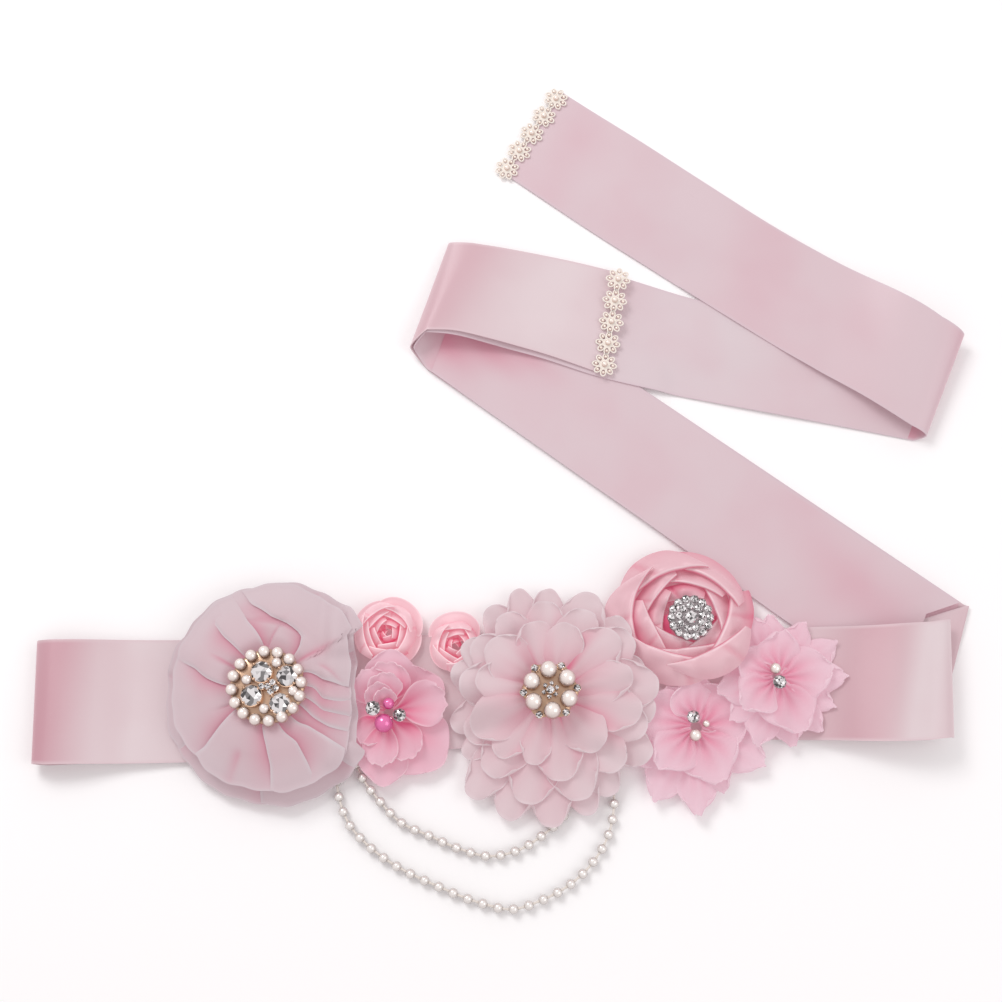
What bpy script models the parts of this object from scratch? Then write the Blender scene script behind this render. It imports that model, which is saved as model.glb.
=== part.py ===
"""Bridal sash laid out flat: one long satin ribbon folded over itself, with sewn-on cloth flowers,
three jewelled brooches, two swags of pearls and two daisy trims.

All tables are in millimetres in the sash's own plan: +X along the front band to the right,
+Y up the picture, +Z up off the table. The solids themselves are built in metres.
Each cloth piece is a wall. A piece is laid on whatever is already on the table, so every layer
clears the one under it by LAYER_GAP.
"""
import math

import bmesh
import bpy
import numpy as np
from mathutils.bvhtree import BVHTree

MM = 0.001
LAYER_GAP = 0.36
RIBBON_WALL = 1.0
RIBBON_PITCH = RIBBON_WALL + LAYER_GAP
PETAL_WALL = 1.5
SEAM_GAP = 0.4
SEAT_GAP = 0.32
TUCK = 3.0

# Plan position of the sash's centre, so that the whole part stands centred on the origin.
PLAN_CENTRE = (6.15, 16.27)

# Loop heights of the folds: how far the upper cloth stands above the lower at each edge.
LEFT_FOLD_RISE = (10.0, 11.0)
RIGHT_FOLD_RISE = (11.0, 15.0)
PRESSED_FOLD_RISE = (1.8, 1.8)
TURN_RISE = (7.0, 14.0)
END_FOLD_RISE = (15.0, 10.0)


class Table:
    """Height map of everything already laid down, in 1 mm cells."""

    LOW_X, LOW_Y = -262, -236
    SPAN_X, SPAN_Y = 540, 506

    def __init__(self):
        """Start with the bare table."""
        self.top = np.zeros((self.SPAN_X, self.SPAN_Y))
        self.solids = []

    def cells(self, points):
        """Cell indices of points given in millimetres."""
        i = np.clip(np.floor(points[:, 0] - self.LOW_X).astype(int), 0, self.SPAN_X - 1)
        j = np.clip(np.floor(points[:, 1] - self.LOW_Y).astype(int), 0, self.SPAN_Y - 1)
        return i, j

    def add(self, verts, faces):
        """Raise the map to the top of a finished solid."""
        points = face_samples(verts, faces)
        np.maximum.at(self.top, self.cells(points), points[:, 2])
        low, high = verts[:, :2].min(axis=0), verts[:, :2].max(axis=0)
        self.solids.append((low, high, BVHTree.FromPolygons(verts.tolist(), [tuple(map(int, face)) for face in faces])))

    def lift(self, verts, faces, clearance, reach, ease):
        """Height each point of a sheet must gain to clear what lies below it."""
        points = face_samples(verts, faces)
        cells = self.cells(points)
        own = np.full(self.top.shape, np.inf)
        np.minimum.at(own, cells, points[:, 2])
        under = np.where(self.top > 0.0, self.top + LAYER_GAP, 0.0)
        need = np.where(np.isfinite(own), under + clearance - own, 0.0)
        need = widen(np.maximum(need, 0.0), reach + ease)
        need = soften(need, ease)
        return need[self.cells(verts)]


def face_samples(verts, faces):
    """Points spread evenly over every face of a mesh."""
    corners = []
    for face in faces:
        for k in range(1, len(face) - 1):
            corners.append((face[0], face[k], face[k + 1]))
    tris = verts[np.array(corners)]
    steps = 12
    weights = [(a / steps, b / steps, (steps - a - b) / steps) for a in range(steps + 1) for b in range(steps + 1 - a)]
    points = np.einsum("kw,twc->tkc", np.array(weights), tris)
    return points.reshape(-1, 3)


def widen(field, reach):
    """Largest value within a square reach of each cell."""
    result = field
    for axis in (0, 1):
        best = result
        for step in range(1, reach + 1):
            best = np.maximum(best, np.roll(result, step, axis))
            best = np.maximum(best, np.roll(result, -step, axis))
        result = best
    return result


def soften(field, reach):
    """Mean value within a square reach of each cell."""
    result = field
    for axis in (0, 1):
        total = result.copy()
        for step in range(1, reach + 1):
            total = total + np.roll(result, step, axis) + np.roll(result, -step, axis)
        result = total / (2 * reach + 1)
    return result


def clear_scene():
    """Remove every object of the starting scene."""
    for item in list(bpy.data.objects):
        bpy.data.objects.remove(item, do_unlink=True)


def material(name, colour, roughness, metallic=0.0):
    """Plain Principled material."""
    made = bpy.data.materials.new(name)
    made.use_nodes = True
    shader = made.node_tree.nodes["Principled BSDF"]
    shader.inputs["Base Color"].default_value = (*colour, 1.0)
    shader.inputs["Roughness"].default_value = roughness
    shader.inputs["Metallic"].default_value = metallic
    return made


def make_object(name, verts, faces, surface, smooth=True):
    """Make one named solid from points in millimetres."""
    mesh = bpy.data.meshes.new(name)
    mesh.from_pydata((np.asarray(verts) * MM).tolist(), [], [list(map(int, face)) for face in faces])
    mesh.validate()
    shell = bmesh.new()
    shell.from_mesh(mesh)
    bmesh.ops.recalc_face_normals(shell, faces=shell.faces)
    shell.to_mesh(mesh)
    shell.free()
    mesh.materials.append(surface)
    for polygon in mesh.polygons:
        polygon.use_smooth = smooth
    made = bpy.data.objects.new(name, mesh)
    SASH.objects.link(made)
    made.parent = HOLDER
    return made


def grid_faces(rows, columns, closed=False):
    """Quads of a grid of points stored row by row."""
    faces = []
    last = rows if closed else rows - 1
    for i in range(last):
        for j in range(columns - 1):
            a = i * columns + j
            b = ((i + 1) % rows) * columns + j
            faces.append((a, b, b + 1, a + 1))
    return faces


def grid_normals(grid):
    """Unit normals of an open grid of points."""
    along = np.gradient(grid, axis=0)
    across = np.gradient(grid, axis=1)
    normal = np.cross(across, along)
    return normal / np.linalg.norm(normal, axis=2, keepdims=True)


def sheet_wall(grid, thickness):
    """Closed wall of even thickness on both sides of an open grid."""
    rows, columns = grid.shape[:2]
    normal = grid_normals(grid)
    front = (grid + normal * thickness / 2).reshape(-1, 3)
    back = (grid - normal * thickness / 2).reshape(-1, 3)
    count = rows * columns
    faces = [tuple(reversed(face)) for face in grid_faces(rows, columns)]
    faces += [tuple(k + count for k in face) for face in grid_faces(rows, columns)]
    ring = [j for j in range(columns)]
    ring += [i * columns + columns - 1 for i in range(1, rows)]
    ring += [(rows - 1) * columns + j for j in range(columns - 2, -1, -1)]
    ring += [i * columns for i in range(rows - 2, 0, -1)]
    for k, a in enumerate(ring):
        b = ring[(k + 1) % len(ring)]
        faces.append((a, b, b + count, a + count))
    return np.vstack([front, back]), faces


# Ribbon stretches.

def resample(points, fractions):
    """Points at the given fractions of a polyline's length."""
    points = np.array(points, dtype=float)
    steps = np.linalg.norm(np.diff(points, axis=0), axis=1)
    reached = np.concatenate([[0.0], np.cumsum(steps)])
    wanted = np.asarray(fractions) * reached[-1]
    return np.column_stack([np.interp(wanted, reached, points[:, k]) for k in range(2)])


def flat_rows(upper, lower, spacing, start_rise, end_rise, rest, ease=38.0):
    """Rows of a stretch lying flat, easing down from the loops at its two ends.

    The height of an edge is rest + start_rise exp(-(d/ease)^2) + end_rise exp(-((D-d)/ease)^2),
    where d is the distance run and D the length of the stretch.
    """
    lines = [np.array(upper, dtype=float), np.array(lower, dtype=float)]
    length = np.linalg.norm(lines[0][-1] - lines[0][0])
    count = max(2, int(round(length / spacing)) + 1)
    fractions = np.linspace(0.0, 1.0, count)
    run = fractions * length
    rows = np.zeros((count, 2, 3))
    for side in (0, 1):
        rows[:, side, :2] = resample(lines[side], fractions)
        rows[:, side, 2] = (rest + start_rise[side] * np.exp(-(run / ease) ** 2)
                            + end_rise[side] * np.exp(-((length - run) / ease) ** 2))
    return rows


def loop_rows(start, crest, finish, low, rise, steps):
    """Rows of a fold, from the lower cloth round to the upper: two quarter ellipses at each edge.

    At angle t from -90 to 90 degrees an edge point's plan is C + (E - C)(1 - cos t), with C the
    crest and E the start or the finish, and its height is low + rise (1 + sin t) / 2.
    """
    angle = np.radians(np.linspace(-90.0, 90.0, steps))
    rows = np.zeros((steps, 2, 3))
    for side in (0, 1):
        top = np.array(crest[side])
        end = np.where((angle < 0.0)[:, None], np.array(start[side]), np.array(finish[side]))
        rows[:, side, :2] = top + (end - top) * (1 - np.cos(angle))[:, None]
        rows[:, side, 2] = low[side] + rise[side] * (1 + np.sin(angle)) / 2
    return rows


def inner_crest(start, crest, finish, inset):
    """Crest of a loop that runs inside another, one layer in from it."""
    moved = []
    for first, top, last in zip(start, crest, finish):
        middle = (np.array(first) + np.array(last)) / 2
        bulge = np.array(top) - middle
        moved.append(tuple(middle + bulge * (1 - inset / np.linalg.norm(bulge))))
    return moved


def tuck_row(row, direction, length):
    """A further row, moved along the lower cloth away from a fold."""
    moved = row.copy()
    step = np.array(direction, dtype=float)
    moved[:, :2] += step / np.linalg.norm(step) * length
    return moved


def lay_ribbon(name, parts, columns, slant=()):
    """Build one stretch of ribbon from (rows, movable) parts and lay it down.

    slant lists (share, reach): how far the start is drawn out against DIAGONAL at each share of the
    width. The rows after it follow, less and less over 45 mm.
    """
    rows = np.vstack([part for part, _ in parts])
    free = np.concatenate([np.full(len(part), movable) for part, movable in parts])
    keep = np.ones(len(rows), dtype=bool)
    for k in range(1, len(rows)):
        if np.abs(rows[k] - rows[k - 1]).max() < 0.05:
            keep[k] = False
    rows, free = rows[keep], free[keep]
    share = np.linspace(0.0, 1.0, columns)[None, :, None]
    grid = rows[:, 0:1] * (1 - share) + rows[:, 1:2] * share
    if slant:
        reach = np.interp(share[0, :, 0], [place for place, _ in slant], [value for _, value in slant])
        run = np.linalg.norm(grid[:, 0] - grid[0, 0], axis=1)
        pull = np.clip(1 - run / 45.0, 0.0, 1.0)[:, None] * reach[None, :]
        grid[..., :2] -= pull[..., None] * np.array(DIAGONAL)
    used = np.flatnonzero(free)
    flat = grid[used[0]:used[-1] + 1]
    verts = flat.reshape(-1, 3)
    gain = TABLE.lift(verts, grid_faces(flat.shape[0], columns), RIBBON_WALL / 2, 11, 6)
    grid[used[0]:used[-1] + 1, :, 2] += gain.reshape(flat.shape[:2])
    verts, faces = sheet_wall(grid, RIBBON_WALL)
    TABLE.add(verts, faces)
    return make_object(name, verts, faces, SATIN)


# Edge points of the ribbon: upper edge first, then lower edge.
LEFT_FOLD = dict(start=((-231.0, -76.5), (-230.0, -139.4)), crest=((-239.3, -76.6), (-237.0, -139.2)),
                 finish=((-229.0, -76.3), (-229.0, -139.9)))
PRESSED_FOLD = dict(start=((242.2, -56.4), (222.5, -117.6)), crest=((244.4, -57.2), (224.6, -118.0)),
                    finish=((242.2, -57.4), (222.5, -118.0)))
RIGHT_FOLD = dict(start=((217.3, -78.3), (213.0, -113.0)), crest=((231.4, -66.0), (228.0, -126.6)),
                  finish=((221.0, -68.0), (213.5, -128.6)))
TURN = dict(start=((-20.5, 133.4), (-40.3, 74.2)), crest=((-29.0, 147.0), (-49.2, 84.4)),
            finish=((-16.0, 145.8), (-39.9, 92.1)))
END_FOLD = dict(start=((243.0, 84.1), (221.9, 33.7)), crest=((251.6, 91.0), (227.8, 34.6)),
                finish=((238.5, 98.8), (219.0, 39.0)))

FRONT_UPPER = [(-229.0, -76.3), (-181.5, -75.7), (172.7, -68.8), (205.0, -68.6), (221.0, -68.0)]
FRONT_LOWER = [(-229.0, -139.9), (-177.7, -138.6), (169.1, -127.4), (199.6, -128.8), (213.5, -128.6)]
MID_UPPER = [(-16.0, 145.8), (5.0, 142.5), (38.3, 136.8), (64.3, 130.5)]
MID_LOWER = [(-39.9, 92.1), (-27.5, 91.9), (-6.5, 88.2), (21.2, 81.7), (55.4, 70.1)]
UNDER_UPPER = [(-16.0, 145.0), (5.0, 141.7), (38.3, 136.0), (71.4, 126.6), (104.5, 115.9), (153.6, 104.1),
               (197.1, 94.1), (243.0, 84.1)]
UNDER_LOWER = [(-39.9, 91.1), (-27.5, 90.3), (-6.5, 86.3), (21.2, 79.5), (55.5, 68.3), (86.4, 61.0), (118.7, 54.3),
               (183.0, 41.7), (221.9, 33.7)]
TOP_UPPER = [(238.5, 98.8), (232.5, 103.8), (218.0, 114.8), (187.9, 135.1), (155.9, 156.4), (90.3, 203.7), (35.6, 242.4)]
TOP_LOWER = [(219.0, 39.0), (210.9, 44.7), (193.6, 57.6), (152.5, 85.2), (88.3, 129.6), (55.3, 152.5), (0.6, 192.5)]

DIAGONAL = (-0.809, 0.588)
DIAGONAL_START = ((221.5, -43.5), (213.0, -113.0))
CORNER_SLANT = ((0.0, 24.4), (0.25, 5.0), (0.5, 0.0))
BACK_UPPER = ((205.0, -66.6), (221.0, -63.8), (232.0, -60.4))


def shifted(pairs, direction, length):
    """Plan points moved along a direction."""
    step = np.array(direction, dtype=float)
    step = step / np.linalg.norm(step) * length
    return [tuple(np.array(point) + step) for point in pairs]


def build_ribbon():
    """Lay the seven stretches of ribbon, lowest first."""
    level = RIBBON_WALL / 2
    second = level + RIBBON_PITCH
    reach = TUCK + SEAM_GAP

    start = shifted(PRESSED_FOLD["start"], DIAGONAL, reach)
    finish = shifted(TURN["start"], DIAGONAL, -reach)
    rows = flat_rows((start[0], finish[0]), (start[1], finish[1]), 60.0, (0, 0), (0, 0), level)
    lay_ribbon("left_tail_diagonal", [(rows, True)], 2)

    east = (1.0, 0.03)
    start = shifted(LEFT_FOLD["start"], east, reach)
    pressed = loop_rows(PRESSED_FOLD["start"], PRESSED_FOLD["crest"], PRESSED_FOLD["finish"],
                        (level, level), PRESSED_FOLD_RISE, 6)
    rows = flat_rows((start[0], *BACK_UPPER, PRESSED_FOLD["finish"][0]),
                     (start[1], PRESSED_FOLD["finish"][1]), 15.0, (0, 0), PRESSED_FOLD_RISE, level)
    tuck = tuck_row(pressed[0], DIAGONAL, TUCK)[None]
    lay_ribbon("band_back", [(rows, True), (pressed[::-1], False), (tuck, False)], 3)

    low = 4.3
    start = shifted(DIAGONAL_START, DIAGONAL, reach)
    finish = shifted(TURN["start"], DIAGONAL, -reach)
    rows = flat_rows((start[0], finish[0]), (start[1], finish[1]), 16.0, (low - second, low - second), (0, 0),
                     second, 30.0)
    lay_ribbon("right_tail_diagonal", [(rows, True)], 5, CORNER_SLANT)

    left = loop_rows(LEFT_FOLD["start"], LEFT_FOLD["crest"], LEFT_FOLD["finish"], (level, level), LEFT_FOLD_RISE, 9)
    right = loop_rows(RIGHT_FOLD["start"], RIGHT_FOLD["crest"], RIGHT_FOLD["finish"], (low, low), RIGHT_FOLD_RISE, 10)
    end_rise = (low - second + RIGHT_FOLD_RISE[0], low - second + RIGHT_FOLD_RISE[1])
    start_rise = (level - second + LEFT_FOLD_RISE[0], level - second + LEFT_FOLD_RISE[1])
    rows = flat_rows(FRONT_UPPER, FRONT_LOWER, 15.0, start_rise, end_rise, second)
    lay_ribbon("band_front", [(tuck_row(left[0], east, TUCK)[None], False), (left, False), (rows, True),
                              (right[::-1], False), (tuck_row(right[0], DIAGONAL, TUCK)[None], False)], 5)

    inner = loop_rows(TURN["start"], inner_crest(TURN["start"], TURN["crest"], TURN["finish"], 1.4 * RIBBON_PITCH),
                      TURN["finish"], (second, second), tuple(rise - 2 * RIBBON_PITCH for rise in TURN_RISE), 9)
    rise = tuple(second - level + value - 2 * RIBBON_PITCH for value in TURN_RISE)
    rows = flat_rows(UNDER_UPPER, UNDER_LOWER, 14.0, rise, (0, 0), level, 46.0)
    lay_ribbon("right_tail_middle", [(tuck_row(inner[0], DIAGONAL, -TUCK)[None], False), (inner, False),
                                     (rows[:-1], True), (shifted_last(rows, reach)[None], True)], 5)

    outer = loop_rows(TURN["start"], TURN["crest"], TURN["finish"], (level, level), TURN_RISE, 10)
    rows = flat_rows(MID_UPPER, MID_LOWER, 12.0, tuple(value - RIBBON_PITCH for value in TURN_RISE), (0, 0),
                     second, 46.0)
    lay_ribbon("left_tail_end", [(tuck_row(outer[0], DIAGONAL, -TUCK)[None], False), (outer, False), (rows, True)], 5)

    loop = loop_rows(END_FOLD["start"], END_FOLD["crest"], END_FOLD["finish"], (level, level), END_FOLD_RISE, 9)
    rows = flat_rows(TOP_UPPER, TOP_LOWER, 14.0, END_FOLD_RISE, (0, 0), level, 48.0)
    lay_ribbon("right_tail_top", [(tuck_row(loop[0], (-1.0, 0.2), TUCK)[None], False), (loop, False), (rows, True)], 5)


def shifted_last(rows, length):
    """Last row of a stretch, drawn back along it."""
    last = rows[-1].copy()
    step = rows[-2] - rows[-1]
    last[:, :2] += step[:, :2] / np.linalg.norm(step[:, :2], axis=1, keepdims=True) * length
    return last


# Swags of pearls.

OUTER_SWAG = [(-83.5, -135.9), (-83.4, -145.0), (-82.2, -153.8), (-76.4, -168.7), (-66.3, -179.5), (-53.2, -188.7), (-32.0, -198.8),
              (-10.0, -207.1), (4.9, -210.1), (20.1, -205.8), (33.8, -198.6), (45.1, -188.4), (53.3, -175.5),
              (56.9, -160.4), (56.4, -146.2), (56.4, -131.5)]
INNER_SWAG = [(-75.0, -135.6), (-70.5, -145.4), (-61.5, -157.1), (-50.3, -168.0), (-36.0, -174.5), (-22.0, -180.5), (-5.8, -184.5),
              (9.3, -181.3), (22.5, -173.0), (31.0, -165.5), (37.5, -150.0), (38.5, -132.1)]
PEARL_RADIUS = 2.5
PEARL_PITCH = 7.7
THREAD_RADIUS = 0.6


def smooth_path(points, count):
    """Even points on a Catmull-Rom curve through the given plan points."""
    points = np.array(points, dtype=float)
    ends = np.vstack([2 * points[0] - points[1], points, 2 * points[-1] - points[-2]])
    curve = []
    for k in range(len(points) - 1):
        a, b, c, d = ends[k:k + 4]
        for t in np.linspace(0.0, 1.0, 24, endpoint=False):
            curve.append(0.5 * (2 * b + (c - a) * t + (2 * a - 5 * b + 4 * c - d) * t ** 2
                                + (3 * b - a - 3 * c + d) * t ** 3))
    curve.append(points[-1])
    return resample(curve, np.linspace(0.0, 1.0, count))


def build_swag(name, points, segments=5):
    """String of pearls as one turned bead profile run along a path."""
    rough = smooth_path(points, 200)
    length = np.linalg.norm(np.diff(rough, axis=0), axis=1).sum()
    beads = int(round(length / PEARL_PITCH))
    profile = [(-0.36, THREAD_RADIUS), (-0.14, PEARL_RADIUS), (0.14, PEARL_RADIUS), (0.36, THREAD_RADIUS)]
    stations = [((k + 0.5 + offset) / beads, radius) for k in range(beads) for offset, radius in profile]
    stations = [(0.0, THREAD_RADIUS)] + stations + [(1.0, THREAD_RADIUS)]
    centre = resample(rough, [fraction for fraction, _ in stations])
    along = np.gradient(centre, axis=0)
    along /= np.linalg.norm(along, axis=1, keepdims=True)
    verts = []
    for (x, y), (dx, dy), (_, radius) in zip(centre, along, stations):
        for k in range(segments):
            turn = 2 * math.pi * k / segments
            side = radius * math.cos(turn)
            verts.append((x - dy * side, y + dx * side, PEARL_RADIUS + radius * math.sin(turn)))
    faces = []
    for i in range(len(stations) - 1):
        for k in range(segments):
            a, b = i * segments + k, i * segments + (k + 1) % segments
            faces.append((a, b, b + segments, a + segments))
    faces.append(tuple(range(segments)))
    faces.append(tuple((len(stations) - 1) * segments + k for k in reversed(range(segments))))
    verts = np.array(verts)
    verts[:, 2] -= verts[:, 2].min()
    TABLE.add(verts, faces)
    return make_object(name, verts, faces, PEARL)


# Flower tiers.

def disc_mesh(rings, spokes):
    """Faces of a disc of rings round one centre point, centre first."""
    faces = [(0, 1 + k, 1 + (k + 1) % spokes) for k in range(spokes)]
    for i in range(rings - 1):
        for k in range(spokes):
            a, b = 1 + i * spokes + k, 1 + i * spokes + (k + 1) % spokes
            faces.append((a, a + spokes, b + spokes, b))
    return faces


def lay_disc(name, top, rings, spokes, thickness, surface, reach, ease=4):
    """Lay a disc-shaped sheet on the table and give it its wall."""
    faces = disc_mesh(rings, spokes)
    top = top.copy()
    top[:, 2] += TABLE.lift(top, faces, thickness, reach, ease)
    count = len(top)
    bottom = top - np.array([0.0, 0.0, thickness])
    verts = np.vstack([top, bottom])
    solid = list(faces) + [tuple(k + count for k in reversed(face)) for face in faces]
    rim = 1 + (rings - 1) * spokes
    for k in range(spokes):
        a, b = rim + k, rim + (k + 1) % spokes
        solid.append((a, a + count, b + count, b))
    TABLE.add(verts, solid)
    return make_object(name, verts, solid, surface)


def petal_tier(name, centre, petals, notch, hub, rim, curl, step, bulge, surface, rings=4, per_petal=5, reach=6):
    """One tier of overlapping petals, each given as (degrees, length) of its tip.

    A petal runs from halfway to the one before to halfway to the one after. With s running 0 to 1
    across it and u 0 to 1 from hub to tip, the outline is length (1 - notch |2s-1|^3) and the height
    rim + (hub - rim)(1-u)^1.5 + curl u^4 + (step s + bulge sin(pi s)) u,
    so each petal's far edge stands over the next one.
    """
    count = len(petals)
    spokes = count * per_petal
    tips = [degrees for degrees, _ in petals]
    edges = [(tips[k - 1] - (360.0 if k == 0 else 0.0) + tips[k]) / 2 for k in range(count)]
    edges.append(edges[0] + 360.0)
    verts = [(centre[0], centre[1], hub)]
    for i in range(1, rings + 1):
        u = (i / rings) ** 0.9
        for k in range(spokes):
            which, place = k // per_petal, k % per_petal
            s = place / (per_petal - 1)
            share = (place + 0.3) / (per_petal - 0.4)
            angle = math.radians(edges[which] + share * (edges[which + 1] - edges[which]))
            length = petals[which][1] * (1 - notch * abs(2 * s - 1) ** 3)
            height = rim + (hub - rim) * (1 - u) ** 1.5 + curl * u ** 4 + (step * s + bulge * math.sin(math.pi * s)) * u
            verts.append((centre[0] + length * u * math.cos(angle), centre[1] + length * u * math.sin(angle), height))
    return lay_disc(name, np.array(verts), rings, spokes, PETAL_WALL, surface, reach)


def ruffle_tier(name, centre, lengths, folds, turn, hub, crest, rim, depth, swirl, surface, rings=5, per_fold=6,
                reach=6):
    """One gathered ring of cloth with radial folds, its reach given at even angles from +X.

    The hub is level out to u = 0.42. Beyond it the height is
    rim + (hub - rim) cos^2(pi v / 2) + crest sin(pi v) + depth w(a) m(v), where v runs 0 to 1 from
    the hub's edge to the rim, w is a soft wave with one crest a fold and m(v) = min(1, 3v).
    """
    spokes = folds * per_fold
    level = 0.42
    verts = [(centre[0], centre[1], hub)]
    for i in range(1, rings + 1):
        u = i / rings
        v = max(0.0, (u - level) / (1 - level))
        for k in range(spokes):
            phase = 2 * math.pi * k / per_fold
            angle = math.radians(turn + swirl * u) + 2 * math.pi * k / spokes
            wave = math.cos(phase) + 0.25 * math.cos(2 * phase + 1.0)
            where = (angle / (2 * math.pi) * len(lengths)) % len(lengths)
            low = int(where)
            blend = where - low
            length = lengths[low] * (1 - blend) + lengths[(low + 1) % len(lengths)] * blend
            out = u * length * (1 + 0.02 * wave * v)
            height = (rim + (hub - rim) * math.cos(math.pi * v / 2) ** 2 + crest * math.sin(math.pi * v)
                      + depth * wave * min(1.0, 3 * v))
            verts.append((centre[0] + out * math.cos(angle), centre[1] + out * math.sin(angle), height))
    return lay_disc(name, np.array(verts), rings, spokes, PETAL_WALL, surface, reach)


def coil(name, centre, inner, outer, turns, start, section, surface, wall, steps, squash=1.0, crown=0.0, wobble=0.0):
    """A strip of ribbon wound in a spiral and standing on edge.

    The section is a list of (out, up) points across the strip, set on a spiral whose radius grows
    evenly from inner to outer; crown raises the middle turns and wobble lets the strip wander.
    """
    grid = np.zeros((steps, len(section), 3))
    for i, t in enumerate(np.linspace(0.0, 1.0, steps)):
        angle = math.radians(start) + 2 * math.pi * turns * t
        radius = inner + (outer - inner) * t
        sway = wobble * math.sin(3.0 * angle + 1.0)
        for j, (out, up) in enumerate(section):
            r = radius + out * (0.75 + 0.25 * t) + sway * 0.5
            grid[i, j] = (centre[0] + r * math.cos(angle), centre[1] + squash * r * math.sin(angle),
                          up + crown * (1 - t) + sway * (j / (len(section) - 1)))
    verts = grid.reshape(-1, 3)
    gain = TABLE.lift(verts, grid_faces(steps, len(section)), wall / 2 + 0.4, 3, 3)
    grid[:, :, 2] += gain.reshape(grid.shape[:2])
    verts, faces = sheet_wall(grid, wall)
    TABLE.add(verts, faces)
    return make_object(name, verts, faces, surface)


# Petals of each tier: direction of the tip in degrees from +X, and its distance from the centre.
TULLE_LOW_OUTER = [(-8, 41), (30, 35), (75, 31), (120, 31), (160, 33), (195, 36), (231, 39), (261, 40), (297, 27),
                   (326, 32)]
TULLE_LOW_INNER = [(20, 27), (80, 24), (140, 25), (200, 26), (255, 28), (310, 22)]
TULLE_RIGHT_OUTER = [(0, 39), (45, 38), (90, 40), (135, 36), (180, 33), (225, 33), (270, 36), (315, 36)]
TULLE_RIGHT_INNER = [(25, 26), (85, 24), (145, 25), (205, 22), (265, 24), (325, 25)]
PINK_OUTER = [(30, 32), (85, 33), (140, 22), (190, 23), (236, 34), (268, 38), (325, 38)]
PINK_INNER = [(50, 24), (122, 20), (194, 18), (266, 23), (338, 24)]
MIDDLE_LOW = [(32, 50), (68, 58), (104, 58), (140, 54), (172, 50), (203, 52), (234, 65), (270, 67), (304, 61), (340, 56)]
MIDDLE_MID = [(32, 50), (78, 49), (121, 50), (170, 51), (219, 48), (268, 57), (303, 48), (336, 53)]
MIDDLE_TOP = [(5, 54), (47, 43), (96, 35), (144, 40), (187, 37), (240, 44), (285, 42), (325, 46)]

# Reach of the left flower's two gathered rings at even angles from +X.
LEFT_OUTER = (43.0, 50.0, 57.0, 56.0, 54.5, 54.0, 53.5, 55.0, 56.0, 58.5, 60.0, 52.0)
LEFT_INNER = (39.0, 45.0, 51.0, 51.0, 49.0, 49.0, 48.0, 50.0, 51.0, 52.0, 53.0, 46.0)


def build_flowers():
    """Lay the flowers from the lowest to the highest."""
    roll = [(-1.6, 0.8), (-0.4, 3.6), (1.2, 6.0), (2.6, 7.2)]
    coil("rosette_left", (-58.5, -73.0), 2.4, 16.6, 2.7, 150.0, roll, SATIN, 1.1, 32, crown=1.5)
    coil("rosette_right", (-23.0, -79.5), 2.2, 14.4, 2.5, 40.0, roll, SATIN, 1.1, 30, crown=1.5)
    petal_tier("tulle_low_outer", (99.0, -121.0), TULLE_LOW_OUTER, 0.2, 6.0, 3.0, 1.5, 1.8, 1.2, TULLE, rings=3,
               per_petal=4)
    petal_tier("tulle_low_inner", (99.0, -121.0), TULLE_LOW_INNER, 0.2, 8.0, 5.0, 3.0, 1.8, 1.2, TULLE, rings=3,
               per_petal=5)
    petal_tier("tulle_right_outer", (140.0, -96.5), TULLE_RIGHT_OUTER, 0.2, 6.0, 3.0, 1.5, 1.8, 1.2, TULLE, rings=3,
               per_petal=4)
    petal_tier("tulle_right_inner", (140.0, -96.5), TULLE_RIGHT_INNER, 0.2, 8.0, 5.0, 3.0, 1.8, 1.2, TULLE, rings=3,
               per_petal=5)
    arch = [(-4.4, 1.0), (-3.2, 5.0), (0.0, 7.4), (3.0, 6.2), (4.2, 2.6)]
    coil("satin_rose", (94.5, -62.0), 9.0, 37.0, 2.8, 140.0, arch, SATIN, 1.2, 54, squash=0.9, crown=4.5, wobble=0.8)
    petal_tier("pink_flower_outer", (-57.0, -114.0), PINK_OUTER, 0.2, 6.0, 4.0, 1.5, 2.2, 1.5, CHIFFON, per_petal=4)
    petal_tier("pink_flower_inner", (-57.5, -113.5), PINK_INNER, 0.2, 8.0, 6.5, 3.5, 2.5, 2.0, CHIFFON, per_petal=5)
    ruffle_tier("left_flower_outer", (-118.0, -101.6), LEFT_OUTER, 11, 5.0, 5.0, 2.0, 3.5, 1.4, 12.0, CHIFFON, rings=4,
                per_fold=5)
    ruffle_tier("left_flower_inner", (-118.0, -101.6), LEFT_INNER, 9, 20.0, 14.0, 2.0, 5.0, 1.6, 14.0, CHIFFON)
    petal_tier("middle_flower_low", (24.9, -103.8), MIDDLE_LOW, 0.13, 7.0, 4.0, 1.5, 2.2, 1.4, CHIFFON)
    petal_tier("middle_flower_mid", (24.9, -103.8), MIDDLE_MID, 0.15, 9.0, 6.0, 2.0, 2.2, 1.4, CHIFFON)
    petal_tier("middle_flower_top", (24.9, -103.8), MIDDLE_TOP, 0.17, 11.0, 8.0, 3.0, 2.2, 1.4, CHIFFON)


# Jewels.

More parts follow.
